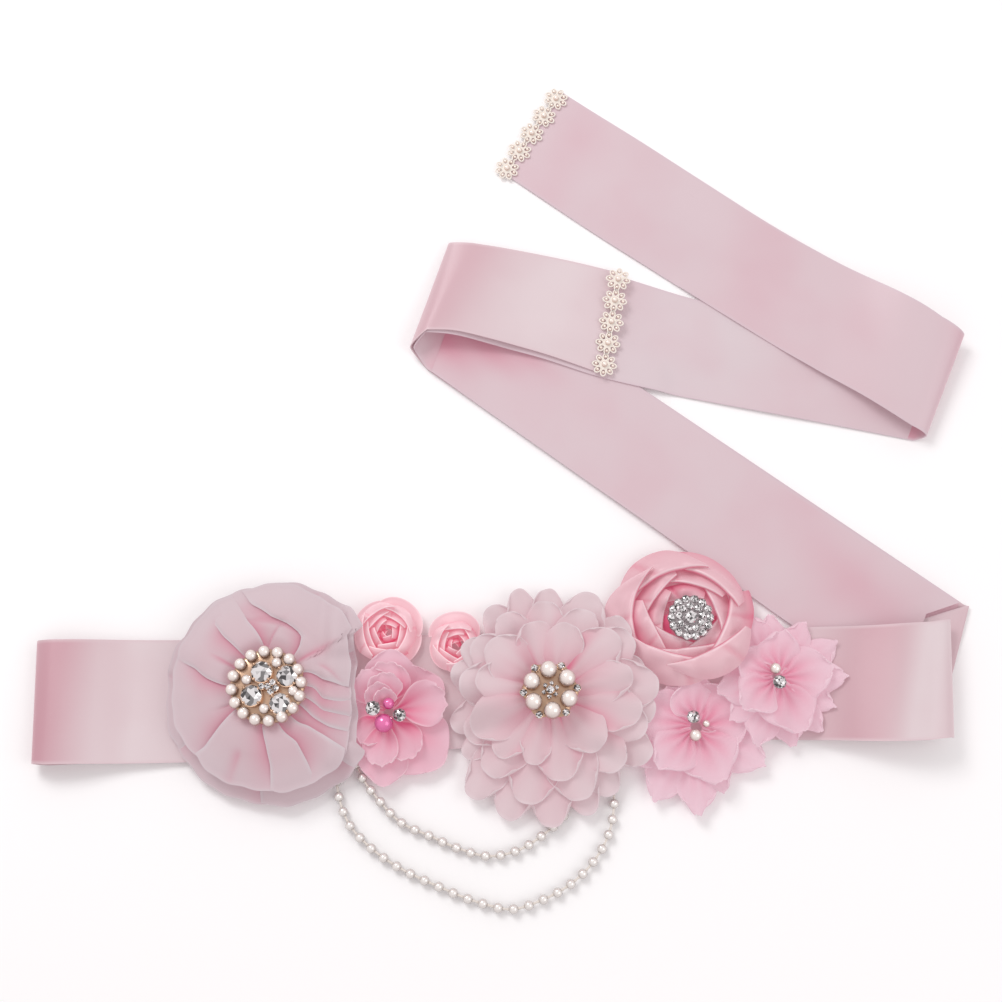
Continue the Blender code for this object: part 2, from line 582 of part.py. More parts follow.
def turned(profile, segments, centre, tilt=0.0):
    """Solid turned about the vertical from (radius, height) pairs, bottom first."""
    verts, faces, rings = [], [], []
    for radius, height in profile:
        if radius == 0.0:
            rings.append([len(verts)])
            verts.append((centre[0], centre[1], height))
            continue
        rings.append(list(range(len(verts), len(verts) + segments)))
        for k in range(segments):
            angle = 2 * math.pi * (k + tilt) / segments
            verts.append((centre[0] + radius * math.cos(angle), centre[1] + radius * math.sin(angle), height))
    for low, high in zip(rings, rings[1:]):
        for k in range(segments):
            n = (k + 1) % segments
            if len(low) == 1:
                faces.append((low[0], high[n], high[k]))
            elif len(high) == 1:
                faces.append((low[k], low[n], high[0]))
            else:
                faces.append((low[k], low[n], high[n], high[k]))
    if len(rings[0]) > 1:
        faces.append(tuple(reversed(rings[0])))
    if len(rings[-1]) > 1:
        faces.append(tuple(rings[-1]))
    return np.array(verts), faces


def ball(radius, height, centre, segments=6):
    """Pearl resting with its centre at the given height."""
    profile = [(0.0, height - radius)]
    for angle in (-48, 0, 48):
        profile.append((radius * math.cos(math.radians(angle)), height + radius * math.sin(math.radians(angle))))
    profile.append((0.0, height + radius))
    return turned(profile, segments, centre)


def stone(radius, low, high, centre, segments=6):
    """Faceted round stone in its cup."""
    profile = [(radius * 0.8, low), (radius, low + 0.55 * (high - low)), (radius * 0.6, high)]
    return turned(profile, segments, centre)


def joined(pieces):
    """Points and faces of several separate solids in one list."""
    verts, faces, count = [], [], 0
    for points, quads in pieces:
        verts.append(points)
        faces += [tuple(k + count for k in face) for face in quads]
        count += len(points)
    return np.vstack(verts), faces


def united(name, base, groups, surface):
    """Boolean union of a base solid with one or more groups of solids."""
    body = make_object(name, *base, surface, smooth=False)
    for group in groups:
        tool = make_object(name + "_tool", *group, surface, smooth=False)
        step = body.modifiers.new("join", "BOOLEAN")
        step.operation = "UNION"
        step.solver = "EXACT"
        step.object = tool
        graph = bpy.context.evaluated_depsgraph_get()
        mesh = bpy.data.meshes.new_from_object(body.evaluated_get(graph))
        body.modifiers.clear()
        old = body.data
        body.data = mesh
        bpy.data.meshes.remove(old)
        bpy.data.objects.remove(tool, do_unlink=True)
        mesh.name = name
    return body


def seat_height(verts, faces):
    """Height that brings a rigid solid down to SEAT_GAP above whatever lies under it."""
    points = face_samples(verts, faces)
    points = points[points[:, 2] < verts[:, 2].min() + 0.6 * np.ptp(verts[:, 2])]
    low, high = points[:, :2].min(axis=0), points[:, :2].max(axis=0)
    near = [tree for corner, far, tree in TABLE.solids if (corner < high).all() and (far > low).all()]
    lowest = {}
    for x, y, z in points:
        key = (round(x * 2.0), round(y * 2.0))
        if key not in lowest or z < lowest[key][2]:
            lowest[key] = (x, y, z)
    rise = -math.inf
    for x, y, z in lowest.values():
        for tree in near:
            hit = tree.ray_cast((x, y, 90.0), (0.0, 0.0, -1.0))[0]
            if hit is not None:
                rise = max(rise, hit.z - z)
    return rise + SEAT_GAP


def place_jewel(name, base, groups, surface):
    """Seat a rigid jewel and build it."""
    verts, faces = joined([base] + list(groups))
    rise = np.array([0.0, 0.0, seat_height(verts, faces)])
    moved = [(points + rise, quads) for points, quads in [base] + list(groups)]
    TABLE.add(verts + rise, faces)
    if len(moved) == 1:
        return make_object(name, *moved[0], surface)
    return united(name, moved[0], moved[1:], surface)


def build_jewels():
    """Brooches and single beads, each set on its flower."""
    x, y = -117.2, -102.4
    ring = [ball(3.2, 3.0, (x + 17.6 * math.cos(a), y + 17.6 * math.sin(a)))
            for a in np.radians(np.arange(16) * 22.5 + 6.0)]
    pearls = [ball(2.6, 3.4, (x + dx, y + dy)) for dx, dy in ((-9.2, 3.4), (5.6, 9.4), (0.0, -10.1))]
    stones = [stone(3.9, 1.0, 5.2, (x + dx, y + dy)) for dx, dy in ((-1.0, 7.1), (9.3, 3.8), (-6.6, -5.7), (6.6, -7.5))]
    stones.append(stone(3.1, 1.0, 6.2, (x + 2.2, y - 0.6)))
    base = turned([(18.8, 0.0), (18.8, 1.8)], 20, (x, y))
    place_jewel("left_brooch", base, [joined(ring + pearls), joined(stones)], GOLD)

    x, y = 24.6, -104.6
    angles = np.radians(95.0 - 60.0 * np.arange(6))
    pearls = [ball(4.4, 4.0, (x + 10.2 * math.cos(a), y + 10.2 * math.sin(a)), 10) for a in angles]
    stones = [stone(1.9, 0.8, 3.4, (x + 13.4 * math.cos(a + 0.524), y + 13.4 * math.sin(a + 0.524)), 6) for a in angles]
    stones.append(stone(4.2, 1.0, 5.6, (x, y)))
    base = turned([(13.6, 0.0), (13.6, 1.6)], 18, (x, y))
    place_jewel("middle_brooch", base, [joined(pearls + stones)], GOLD)

    profile = [(10.6, 0.0), (11.5, 0.8), (11.5, 2.0), (10.4, 3.2), (7.9, 3.4), (7.4, 3.0), (6.6, 4.0), (4.4, 4.2),
               (4.0, 3.8), (3.4, 5.2), (1.8, 5.9)]
    place_jewel("rose_button", turned(profile, 16, (96.2, -67.3)), [], SILVER)

    beads = (
        ("pink_pearl_large", -58.9, -119.9, 4.8, HOT_PINK), ("pink_pearl_small", -56.6, -110.2, 3.0, HOT_PINK),
        ("tulle_pearl_small", 103.6, -119.7, 1.9, PEARL), ("tulle_pearl_large", 97.8, -125.6, 3.1, PEARL),
        ("tulle_pearl_right", 138.2, -93.0, 2.8, PEARL),
    )
    for name, x, y, radius, surface in beads:
        place_jewel(name, ball(radius, radius, (x, y), 10), [], surface)
    crystals = (
        ("pink_stone_left", -64.2, -112.8, 3.7), ("pink_stone_right", -51.2, -115.6, 3.3),
        ("tulle_stone_low", 97.0, -116.4, 3.2), ("tulle_stone_right", 139.9, -99.9, 3.4),
    )
    for name, x, y, radius in crystals:
        place_jewel(name, stone(radius, 0.0, radius * 1.1, (x, y), 10), [], CRYSTAL)


# Daisy trims.

def daisy(centre, radius, turn, petals=8):
    """Flat-backed daisy with a raised centre."""
    spokes = petals * 2
    verts = [(centre[0], centre[1], 2.5)]
    rings = [(0.34, 1.9), (1.0, 1.1)]
    for share, height in rings:
        for k in range(spokes):
            angle = turn + 2 * math.pi * k / spokes
            reach = radius * share * (1.0 if k % 2 == 0 or share < 0.9 else 0.72)
            verts.append((centre[0] + reach * math.cos(angle), centre[1] + reach * math.sin(angle), height))
    faces = disc_mesh(2, spokes)
    count = len(verts)
    for k in range(spokes):
        x, y, _ = verts[1 + spokes + k]
        verts.append((x, y, 0.0))
    for k in range(spokes):
        a, b = 1 + spokes + k, 1 + spokes + (k + 1) % spokes
        faces.append((a, count + k, count + (k + 1) % spokes, b))
    faces.append(tuple(count + k for k in reversed(range(spokes))))
    return np.array(verts), faces


def build_trim(name, first, last, radius=6.9, motifs=5):
    """Row of daisies that touch at their petal tips, lying across the end of a tail."""
    line = np.array(last) - np.array(first)
    turn = math.atan2(line[1], line[0])
    solids = [daisy(np.array(first) + line * k / (motifs - 1), radius, turn) for k in range(motifs)]
    place_jewel(name, solids[0], solids[1:], LACE)


def main():
    """Build the whole sash."""
    build_ribbon()
    build_swag("pearl_swag_outer", OUTER_SWAG)
    build_swag("pearl_swag_inner", INNER_SWAG)
    build_flowers()
    build_jewels()
    build_trim("trim_top", (31.5, 237.9), (3.4, 194.0))
    build_trim("trim_middle", (64.5, 124.6), (56.1, 74.8))


clear_scene()
SASH = bpy.data.collections.new("bridal_sash")
bpy.context.scene.collection.children.link(SASH)
HOLDER = bpy.data.objects.new("sash_origin", None)
SASH.objects.link(HOLDER)
HOLDER.location = (-PLAN_CENTRE[0] * MM, -PLAN_CENTRE[1] * MM, 0.0)
TABLE = Table()
SATIN = material("satin", (0.74, 0.57, 0.61), 0.35)
CHIFFON = material("chiffon", (0.70, 0.50, 0.54), 0.7)
TULLE = material("tulle", (0.76, 0.50, 0.58), 0.8)
PEARL = material("pearl", (0.86, 0.82, 0.76), 0.25)
HOT_PINK = material("hot_pink_pearl", (0.72, 0.16, 0.30), 0.25)
CRYSTAL = material("crystal", (0.85, 0.86, 0.88), 0.1)
GOLD = material("gold", (0.66, 0.50, 0.28), 0.3, 1.0)
SILVER = material("silver", (0.75, 0.75, 0.77), 0.25, 1.0)
LACE = material("lace", (0.85, 0.83, 0.80), 0.7)
main()
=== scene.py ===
"""Bridal sash laid out flat, dressed: folded satin ribbon, cloth flowers, brooches, pearls and trims.

Plan sizes are in millimetres, with +X along the front band to the right, +Y up the picture and +Z up
off the table, as in the sash's own source. Every cloth piece is a thin sheet, worked out as a grid of
points and laid on the pile of what is already on the table, so that no two layers cross.
"""
import logging
import math
from collections.abc import Callable
from dataclasses import dataclass, field, replace
from enum import Enum

import bmesh
import bpy
import numpy as np
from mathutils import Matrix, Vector


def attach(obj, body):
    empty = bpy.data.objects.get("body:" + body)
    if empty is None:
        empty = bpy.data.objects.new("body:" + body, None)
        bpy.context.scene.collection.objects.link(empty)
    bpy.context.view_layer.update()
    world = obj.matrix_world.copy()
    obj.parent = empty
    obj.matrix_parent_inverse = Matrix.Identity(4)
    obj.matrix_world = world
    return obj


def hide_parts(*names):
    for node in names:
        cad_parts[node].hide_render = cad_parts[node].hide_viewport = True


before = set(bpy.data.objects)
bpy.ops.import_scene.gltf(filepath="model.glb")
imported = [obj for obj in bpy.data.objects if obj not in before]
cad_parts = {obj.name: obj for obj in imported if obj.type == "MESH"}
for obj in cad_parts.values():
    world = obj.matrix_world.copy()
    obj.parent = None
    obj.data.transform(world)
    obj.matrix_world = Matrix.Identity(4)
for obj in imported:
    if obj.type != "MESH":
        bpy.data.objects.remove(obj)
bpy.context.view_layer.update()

LOG = logging.getLogger("bridal_sash")

Array = np.ndarray
Point = tuple[float, float]
Pair = tuple[Point, Point]
Spot = tuple[float, float, float]
Colour = tuple[float, float, float]
Chance = np.random.Generator

MM = 0.001
PLAN_CENTRE = np.array([6.15, 16.27, 0.0])
BODY = "root"

RIBBON_WALL = 1.0
RIBBON_SHEET = 0.55
LAYER_GAP = 0.36
RIBBON_PITCH = RIBBON_WALL + LAYER_GAP
PETAL_SHEET = 0.5
TUCK = 3.0
SEAM_GAP = 0.06
TURNING = 1.02
NARROWEST_STRIP = 12.0
SHARP_EDGE = math.radians(62.0)
PEARL_SEGMENTS = 18
# Painted reflections of the stones' facets, from dark to a painted glint.
PAINTED_FACET_GLINTS = (0.05, 0.25, 0.75, 1.0, 1.0)


def srgb(red: int, green: int, blue: int) -> Colour:
    """Linear colour of a screen colour given as three values of 0 to 255."""
    linear = []
    for value in (red, green, blue):
        share = value / 255.0
        linear.append(share / 12.92 if share <= 0.04045 else ((share + 0.055) / 1.055) ** 2.4)
    return linear[0], linear[1], linear[2]


class Weave(Enum):
    """Kinds of cloth in the sash."""

    SATIN = "satin"
    CHIFFON = "chiffon"
    NET = "net"


# Shader building.

class Net:
    """A material's node tree, with one method that makes any node."""

    def __init__(self, name: str) -> None:
        """Start an empty material.

        Args:
            name: the material's name.
        """
        self.material = bpy.data.materials.new(name)
        self.material.use_nodes = True
        self.tree = self.material.node_tree
        self.tree.nodes.clear()

    def node(self, kind: str, settings: dict | None = None, sockets: dict | None = None) -> bpy.types.Node:
        """Make one node.

        Args:
            kind: the node's type name.
            settings: properties set before the sockets.
            sockets: values or links by socket name or number.
        Returns:
            The new node.
        """
        made = self.tree.nodes.new(kind)
        for key, value in (settings or {}).items():
            setattr(made, key, value)
        for key, value in (sockets or {}).items():
            target = made.inputs[key]
            if isinstance(value, Value):
                self.tree.links.new(value.socket, target)
            elif isinstance(value, bpy.types.NodeSocket):
                self.tree.links.new(value, target)
            else:
                target.default_value = value
        return made

    def value(self, kind: str, output: str | int, settings: dict | None = None,
              sockets: dict | None = None) -> "Value":
        """Make a node and wrap one of its outputs.

        Args:
            kind: the node's type name.
            output: the output's name or number.
            settings: properties of the node.
            sockets: values or links by socket name or number.
        Returns:
            The wrapped output.
        """
        return Value(self, self.node(kind, settings, sockets).outputs[output])

    def mix(self, factor: "Value | float", low: "Value | Colour", high: "Value | Colour") -> "Value":
        """Mix two colours.

        Args:
            factor: 0 for low and 1 for high.
            low: colour at 0.
            high: colour at 1.
        Returns:
            The mixed colour.
        """
        ends = [side if isinstance(side, Value) else (*side, 1.0) for side in (low, high)]
        return self.value("ShaderNodeMix", 2, {"data_type": "RGBA", "clamp_factor": True},
                          {0: factor, 6: ends[0], 7: ends[1]})

    def finish(self, shader: bpy.types.Node) -> bpy.types.Material:
        """Connect the last shader to the output and give back the material."""
        self.node("ShaderNodeOutputMaterial", None, {"Surface": shader.outputs[0]})
        return self.material


@dataclass
class Value:
    """A number on its way through a shader, used in ordinary expressions."""

    net: Net
    socket: bpy.types.NodeSocket

    def _math(self, operation: str, first: "Value | float", second: "Value | float") -> "Value":
        """Add one Math node to the tree."""
        return self.net.value("ShaderNodeMath", 0, {"operation": operation}, {0: first, 1: second})

    def __add__(self, other: "Value | float") -> "Value":
        """Sum."""
        return self._math("ADD", self, other)

    __radd__ = __add__

    def __mul__(self, other: "Value | float") -> "Value":
        """Product."""
        return self._math("MULTIPLY", self, other)

    __rmul__ = __mul__

    def __sub__(self, other: "Value | float") -> "Value":
        """Difference."""
        return self._math("SUBTRACT", self, other)

    def __rsub__(self, other: float) -> "Value":
        """Difference from a number."""
        return self._math("SUBTRACT", other, self)

    def sine(self) -> "Value":
        """Sine of an angle in radians."""
        return self._math("SINE", self, 0.0)

    def span(self, low: float, high: float) -> "Value":
        """Smooth step from 0 at low to 1 at high."""
        return self.net.value("ShaderNodeMapRange", 0, {"interpolation_type": "SMOOTHSTEP"},
                              {0: self, 1: low, 2: high, 3: 0.0, 4: 1.0})


# Metres between the threads of each cloth.
THREAD_PITCH = {Weave.SATIN: 0.00045, Weave.CHIFFON: 0.0005, Weave.NET: 0.0013}


@dataclass(frozen=True)
class ClothFinish:
    """Look of one cloth: its face, the colour of the shade painted into its folds, and its weave."""

    name: str
    slot: str
    weave: Weave
    face: Colour
    shade_colour: Colour
    edge: Colour
    roughness: float
    sheen: float
    sheen_tint: Colour = (1.0, 0.85, 0.9)
    cover: float = 1.0
    bump: float = 0.1
    glow: float = 0.0
    cloud_scale: float = 22.0
    cloud_depth: float = 0.10
    glow_depth: float = 0.22
    thread_height: float = 0.0003

    def material(self) -> bpy.types.Material:
        """Build the cloth's material.

        The colour runs from face to the shade colour by the points' painted shade value, which paints
        shade into folds, creases, hollows and cloth lying under other cloth, and to edge by their rim
        value: the stitched selvedge on the ribbons and a painted highlight on the flowers' edges. The glow
        is painted light: an emission pinker than the face, standing in for light passed on inside thin
        cloth, with the base colour darkened by the same share. UV holds metres along and across the
        cloth, so that threads keep their real pitch.

        Returns:
            The material.
        """
        net = Net(self.name)
        painted_shade = net.value("ShaderNodeAttribute", "Fac", {"attribute_name": "painted_shade"})
        rim = net.value("ShaderNodeAttribute", "Fac", {"attribute_name": "rim"})
        uv = net.node("ShaderNodeUVMap", {"uv_map": "cloth"})
        split = net.node("ShaderNodeSeparateXYZ", None, {0: uv.outputs[0]})
        along = Value(net, split.outputs[0])
        across = Value(net, split.outputs[1])
        place = net.node("ShaderNodeTexCoord")
        cloud = net.value("ShaderNodeTexNoise", 0, None,
                          {"Vector": place.outputs["Object"], "Scale": self.cloud_scale, "Detail": 2.0})
        # Painted shade mixes the face towards the shade colour; the rim value mixes in the edge colour.
        colour = net.mix(painted_shade, self.face, self.shade_colour)
        colour = net.mix(cloud.span(0.35, 0.75) * self.cloud_depth, colour, self.shade_colour)
        colour = net.mix(rim, colour, self.edge)
        # Painted glow: an emission pinker than the face, with the base colour darkened by the same share.
        sockets = {
            "Base Color": net.mix(self.glow, colour, (0.0, 0.0, 0.0)),
            "Sheen Weight": self.sheen,
            "Sheen Tint": (*self.sheen_tint, 1.0),
            "Sheen Roughness": 0.5,
            "Emission Color": net.mix(self.glow_depth, colour, self.shade_colour),
            "Emission Strength": self.glow,
        }
        threads = self._threads(along, across)
        if self.weave is Weave.SATIN:
            drawn = net.node("ShaderNodeMapping", None, {0: uv.outputs[0], 3: (60.0, 2600.0, 1.0)})
            streak = net.value("ShaderNodeTexNoise", 0, None,
                               {"Vector": drawn.outputs[0], "Scale": 1.0, "Detail": 2.0})
            sockets["Roughness"] = streak * 0.10 + (self.roughness - 0.05)
            sockets["Anisotropic"] = 0.35
            sockets["Specular IOR Level"] = 0.55
        else:
            sockets["Roughness"] = self.roughness
            sockets["Specular IOR Level"] = 0.25
        if self.weave is Weave.NET:
            sockets["Alpha"] = threads * (1.0 - self.cover) + self.cover
        elif self.cover < 1.0:
            sockets["Alpha"] = self.cover
        bump = net.node("ShaderNodeBump", None,
                        {"Strength": self.bump, "Distance": self.thread_height, "Height": threads})
        sockets["Normal"] = bump.outputs[0]
        return net.finish(net.node("ShaderNodeBsdfPrincipled", None, sockets))

    def _threads(self, along: Value, across: Value) -> Value:
        """Height of the threads: fine lines for satin, a plain weave for chiffon, crossed strands for net."""
        turns = 2 * math.pi / THREAD_PITCH[self.weave]
        if self.weave is Weave.SATIN:
            return (across * turns).sine() * 0.5 + 0.5
        if self.weave is Weave.CHIFFON:
            return (across * turns).sine() * (along * turns).sine() * 0.5 + 0.5
        first = ((across + along) * turns).sine()
        second = ((across - along) * turns).sine()
        return 1.0 - (first * first) * (second * second)


@dataclass(frozen=True)
class HardFinish:
    """Look of a pearl, bead, metal or thread of one colour, with painted shade down a pearl's sides where a
    side colour is given.
    """

    name: str
    slot: str
    colour: Colour
    roughness: float
    metallic: float = 0.0
    coat: float = 0.0
    sheen: float = 0.0
    # Colour of the painted shade down a pearl's sides.
    side: Colour | None = None

    def material(self) -> bpy.types.Material:
        """Build the material; painted shade darkens a pearl from its top down its sides, by the points' side
        value.
        """
        net = Net(self.name)
        colour = (*self.colour, 1.0)
        if self.side is not None:
            down = net.value("ShaderNodeAttribute", "Fac", {"attribute_name": "side"})
            colour = net.mix(down, self.colour, self.side)
        sockets = {"Base Color": colour, "Roughness": self.roughness, "Metallic": self.metallic,
                   "Coat Weight": self.coat, "Coat Roughness": 0.08, "Sheen Weight": self.sheen}
        return net.finish(net.node("ShaderNodeBsdfPrincipled", None, sockets))


@dataclass(frozen=True)
class CutStoneFinish:
    """Look of a cut stone: each facet gets its own painted reflection, from dark to a painted glint."""

    name: str
    slot: str
    dark: Colour
    bright: Colour

    def material(self) -> bpy.types.Material:
        """Build the material from the facets' painted reflection values."""
        net = Net(self.name)
        facet = net.value("ShaderNodeAttribute", "Fac", {"attribute_name": "facet"})
        colour = net.mix(facet, self.dark, self.bright)
        sockets = {"Base Color": colour, "Roughness": 0.06, "Metallic": 0.75, "Coat Weight": 1.0,
                   "Coat Roughness": 0.02}
        return net.finish(net.node("ShaderNodeBsdfPrincipled", None, sockets))


Finish = ClothFinish | HardFinish | CutStoneFinish

# Colours of the cloths: face, painted shade in the folds, and edge: the stitched selvedge on the
# ribbons, a painted highlight on the flowers. Glow is painted light from the cloth itself.
BAND_SATIN = ClothFinish("band_satin", "satin", Weave.SATIN, srgb(219, 204, 207), srgb(186, 120, 136),
                         srgb(216, 194, 199), 0.30, 0.12, glow=0.15)
TAIL_SATIN = ClothFinish("tail_satin", "satin", Weave.SATIN, srgb(213, 200, 204), srgb(204, 112, 138),
                         srgb(210, 192, 199), 0.30, 0.12, glow=0.22)
ROSE_SATIN = ClothFinish("rose_satin", "satin", Weave.SATIN, srgb(226, 190, 197), srgb(214, 90, 124),
                         srgb(248, 228, 232), 0.42, 0.2, glow=0.30)
ROSETTE_SATIN = ClothFinish("rosette_satin", "satin", Weave.SATIN, srgb(240, 202, 209), srgb(232, 84, 122),
                            srgb(255, 236, 240), 0.36, 0.2, glow=0.38)
PALE_CHIFFON = ClothFinish("pale_chiffon", "chiffon", Weave.CHIFFON, srgb(219, 204, 207), srgb(216, 120, 146),
                           srgb(224, 214, 217), 0.7, 0.2, cover=0.95, glow=0.34)
GREY_CHIFFON = ClothFinish("grey_chiffon", "chiffon", Weave.CHIFFON, srgb(207, 188, 193), srgb(204, 118, 142),
                           srgb(209, 200, 204), 0.7, 0.2, cover=0.95, glow=0.30)
PINK_CHIFFON = ClothFinish("pink_chiffon", "chiffon", Weave.CHIFFON, srgb(228, 192, 204), srgb(222, 98, 136),
                           srgb(240, 212, 220), 0.6, 0.2, cover=0.95, glow=0.36)
PINK_NET = ClothFinish("pink_net", "tulle", Weave.NET, srgb(234, 208, 218), srgb(226, 118, 152),
                       srgb(242, 220, 228), 0.75, 0.2, cover=0.32, glow=0.36)
# The side colours are painted shade, darker down each pearl's sides.
IVORY_PEARL = HardFinish("ivory_pearl", "pearl", srgb(255, 246, 240), 0.18, metallic=0.35, coat=1.0,
                         side=srgb(158, 126, 114))
SWAG_PEARL = HardFinish("swag_pearl", "pearl", srgb(250, 246, 242), 0.18, metallic=0.35, coat=1.0,
                        side=srgb(158, 144, 138))
TRIM_PEARL = HardFinish("trim_pearl", "pearl", srgb(250, 240, 230), 0.3, metallic=0.3, coat=0.8,
                        side=srgb(214, 184, 168))
PEARL_THREAD = HardFinish("pearl_thread", "pearl", srgb(226, 218, 210), 0.6)
HOT_PINK_PEARL = HardFinish("hot_pink_pearl", "hot_pink_pearl", srgb(240, 120, 180), 0.2, metallic=0.35,
                            coat=1.0, side=srgb(190, 40, 120))
PALE_GOLD = HardFinish("pale_gold", "gold", srgb(204, 170, 144), 0.3, metallic=0.95)
BRIGHT_SILVER = HardFinish("bright_silver", "silver", srgb(164, 156, 158), 0.24, metallic=1.0)
# Dark and glinting colours of the stones' painted reflections.
CUT_STONE = CutStoneFinish("cut_stone", "crystal", srgb(44, 40, 42), srgb(252, 250, 250))
IVORY_LACE = HardFinish("ivory_lace", "lace", srgb(240, 232, 222), 0.6, sheen=0.3)


@dataclass
class Wardrobe:
    """Materials made so far, one for each finish."""

    made: dict = field(default_factory=dict)

    def get(self, finish: Finish) -> bpy.types.Material:
        """Material of a finish, made on first use."""
        if finish.name not in self.made:
            self.made[finish.name] = finish.material()
        return self.made[finish.name]


WARDROBE = Wardrobe()


# Grids of points.

@dataclass
class Cloth:
    """A sheet as a grid of points, with the values that its material reads at each point."""

    grid: Array
    along: Array
    across: Array
    # Painted shade per point, 0 to 1; then the edge value: ribbons' selvedge, flowers' painted highlight.
    painted_shade: Array
    rim: Array
    sheet: float = PETAL_SHEET
    ring: bool = False


def grid_step(grid: Array, axis: int, ring: bool) -> Array:
    """Differences along one axis of a grid, wrapping round its columns where it is a ring."""
    if ring and axis == 1:
        return (np.roll(grid, -1, axis=1) - np.roll(grid, 1, axis=1)) / 2
    return np.gradient(grid, axis=axis)


def grid_normals(grid: Array, ring: bool) -> Array:
    """Unit normals: the cross product of the steps down the columns and along the rows, turned upwards."""
    normal = np.cross(grid_step(grid, 0, ring), grid_step(grid, 1, ring))
    size = np.linalg.norm(normal, axis=2, keepdims=True)
    return normal / np.maximum(size, 1e-9)


def grid_quads(rows: int, columns: int, ring: bool) -> Array:
    """Quads of a grid stored row by row, closed round its columns where it is a ring."""
    i, j = np.meshgrid(np.arange(rows - 1), np.arange(columns if ring else columns - 1), indexing="ij")
    k = (j + 1) % columns
    return np.stack([i * columns + j, (i + 1) * columns + j, (i + 1) * columns + k, i * columns + k],
                    axis=2).reshape(-1, 4)


def edge_loops(rows: int, columns: int, ring: bool) -> list[Array]:
    """Point numbers round each open edge of a grid."""
    if ring:
        first = np.arange(columns)
        return [first[::-1], (rows - 1) * columns + first]
    down = np.arange(rows)
    over = np.arange(columns)
    return [np.concatenate([over[::-1], down[1:] * columns, (rows - 1) * columns + over[1:],
                            down[-2:0:-1] * columns + columns - 1])]


def thin_shell(cloth: Cloth) -> tuple[Array, Array, Array]:
    """Closed wall round a sheet: its points moved half a thickness out along the normal on each side.

    Args:
        cloth: the sheet.
    Returns:
        Points, quads, and for each point the number of the grid point that it comes from.
    """
    rows, columns = cloth.grid.shape[:2]
    normal = grid_normals(cloth.grid, cloth.ring)
    flat = cloth.grid.reshape(-1, 3)
    offset = normal.reshape(-1, 3) * cloth.sheet / 2
    count = len(flat)
    quads = grid_quads(rows, columns, cloth.ring)
    strips = []
    for loop in edge_loops(rows, columns, cloth.ring):
        following = np.roll(loop, -1)
        strips.append(np.stack([following, loop, loop + count, following + count], axis=1))
    faces = np.vstack([quads, quads[:, ::-1] + count] + strips)
    return np.vstack([flat + offset, flat - offset]), faces, np.tile(np.arange(count), 2)


def new_piece(name: str, points: Array, faces: Array | list, finish: Finish, smooth: bool = True,
              values: dict[str, Array] | None = None, uv: Array | None = None) -> bpy.types.Object:
    """Make one object at the origin from plan points in millimetres.

    Args:
        name: the object's name.
        points: plan points.
        faces: point numbers of each face.
        finish: the look.
        smooth: True for smooth shading.
        values: numbers at each point, by attribute name.
        uv: metres along and across at each point.
    Returns:
        The object, riding on the sash's only body.
    """
    mesh = bpy.data.meshes.new(name)
    rows = faces.tolist() if isinstance(faces, np.ndarray) else faces
    mesh.from_pydata(((points - PLAN_CENTRE) * MM).tolist(), [], rows)
    for key, numbers in (values or {}).items():
        layer = mesh.attributes.new(key, "FLOAT", "POINT")
        layer.data.foreach_set("value", np.ascontiguousarray(numbers, dtype=np.float32))
    if uv is not None:
        corners = np.zeros(len(mesh.loops), dtype=np.int32)
        mesh.loops.foreach_get("vertex_index", corners)
        layer = mesh.uv_layers.new(name="cloth")
        layer.data.foreach_set("uv", np.ascontiguousarray(uv[corners], dtype=np.float32).ravel())
    shell = bmesh.new()
    shell.from_mesh(mesh)
    bmesh.ops.recalc_face_normals(shell, faces=shell.faces)
    shell.to_mesh(mesh)
    shell.free()
    mesh.polygons.foreach_set("use_smooth", np.full(len(mesh.polygons), smooth))
    if smooth:
        mesh.set_sharp_from_angle(angle=SHARP_EDGE)
    mesh.materials.append(WARDROBE.get(finish))
    made = bpy.data.objects.new(name, mesh)
    bpy.context.scene.collection.objects.link(made)
    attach(made, BODY)
    return made


def cloth_piece(name: str, sheets: list[Cloth], finish: ClothFinish) -> bpy.types.Object:
    """Make one object from one or more sheets, each closed in itself.

    Args:
        name: the object's name.
        sheets: the sheets.
        finish: the cloth.
    Returns:
        The object.
    """
    points, faces, uv, painted_shade, rim = [], [], [], [], []
    count = 0
    for cloth in sheets:
        verts, quads, source = thin_shell(cloth)
        points.append(verts)
        faces.append(quads + count)
        count += len(verts)
        uv.append(np.stack([cloth.along.ravel()[source], cloth.across.ravel()[source]], axis=1) * MM)
        painted_shade.append(cloth.painted_shade.ravel()[source])
        rim.append(cloth.rim.ravel()[source])
    values = {"painted_shade": np.concatenate(painted_shade), "rim": np.concatenate(rim)}
    return new_piece(name, np.vstack(points), np.vstack(faces), finish, True, values, np.vstack(uv))


def sheet_area(cloth: Cloth) -> float:
    """Area of a sheet in square metres: the sum of its quads' two triangles."""
    grid = cloth.grid
    if cloth.ring:
        grid = np.concatenate([grid, grid[:, :1]], axis=1)
    a, b, c, d = grid[:-1, :-1], grid[1:, :-1], grid[1:, 1:], grid[:-1, 1:]
    first = np.linalg.norm(np.cross(b - a, c - a), axis=2)
    second = np.linalg.norm(np.cross(c - a, d - a), axis=2)
    return float((first + second).sum() / 2) * MM * MM


def sewn_piece(node: str, ending: str, sheets: list[Cloth], finish: ClothFinish, width: float) -> None:
    """The cut's length is the sheets' area over its width, and a little more for the turned edges.

    Args:
        node: the node that the piece replaces.
        ending: what its name adds to the node's.
        sheets: the sheets.
        finish: the cloth.
        width: the cut's width in metres.
    """
    made = cloth_piece(node + ending, sheets, finish)
    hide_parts(node)
    length = sum(sheet_area(cloth) for cloth in sheets) / width * TURNING
    LOG.info("%s: %d sheets, %.0f x %.0f mm of cloth", node, len(sheets), width / MM, length / MM)


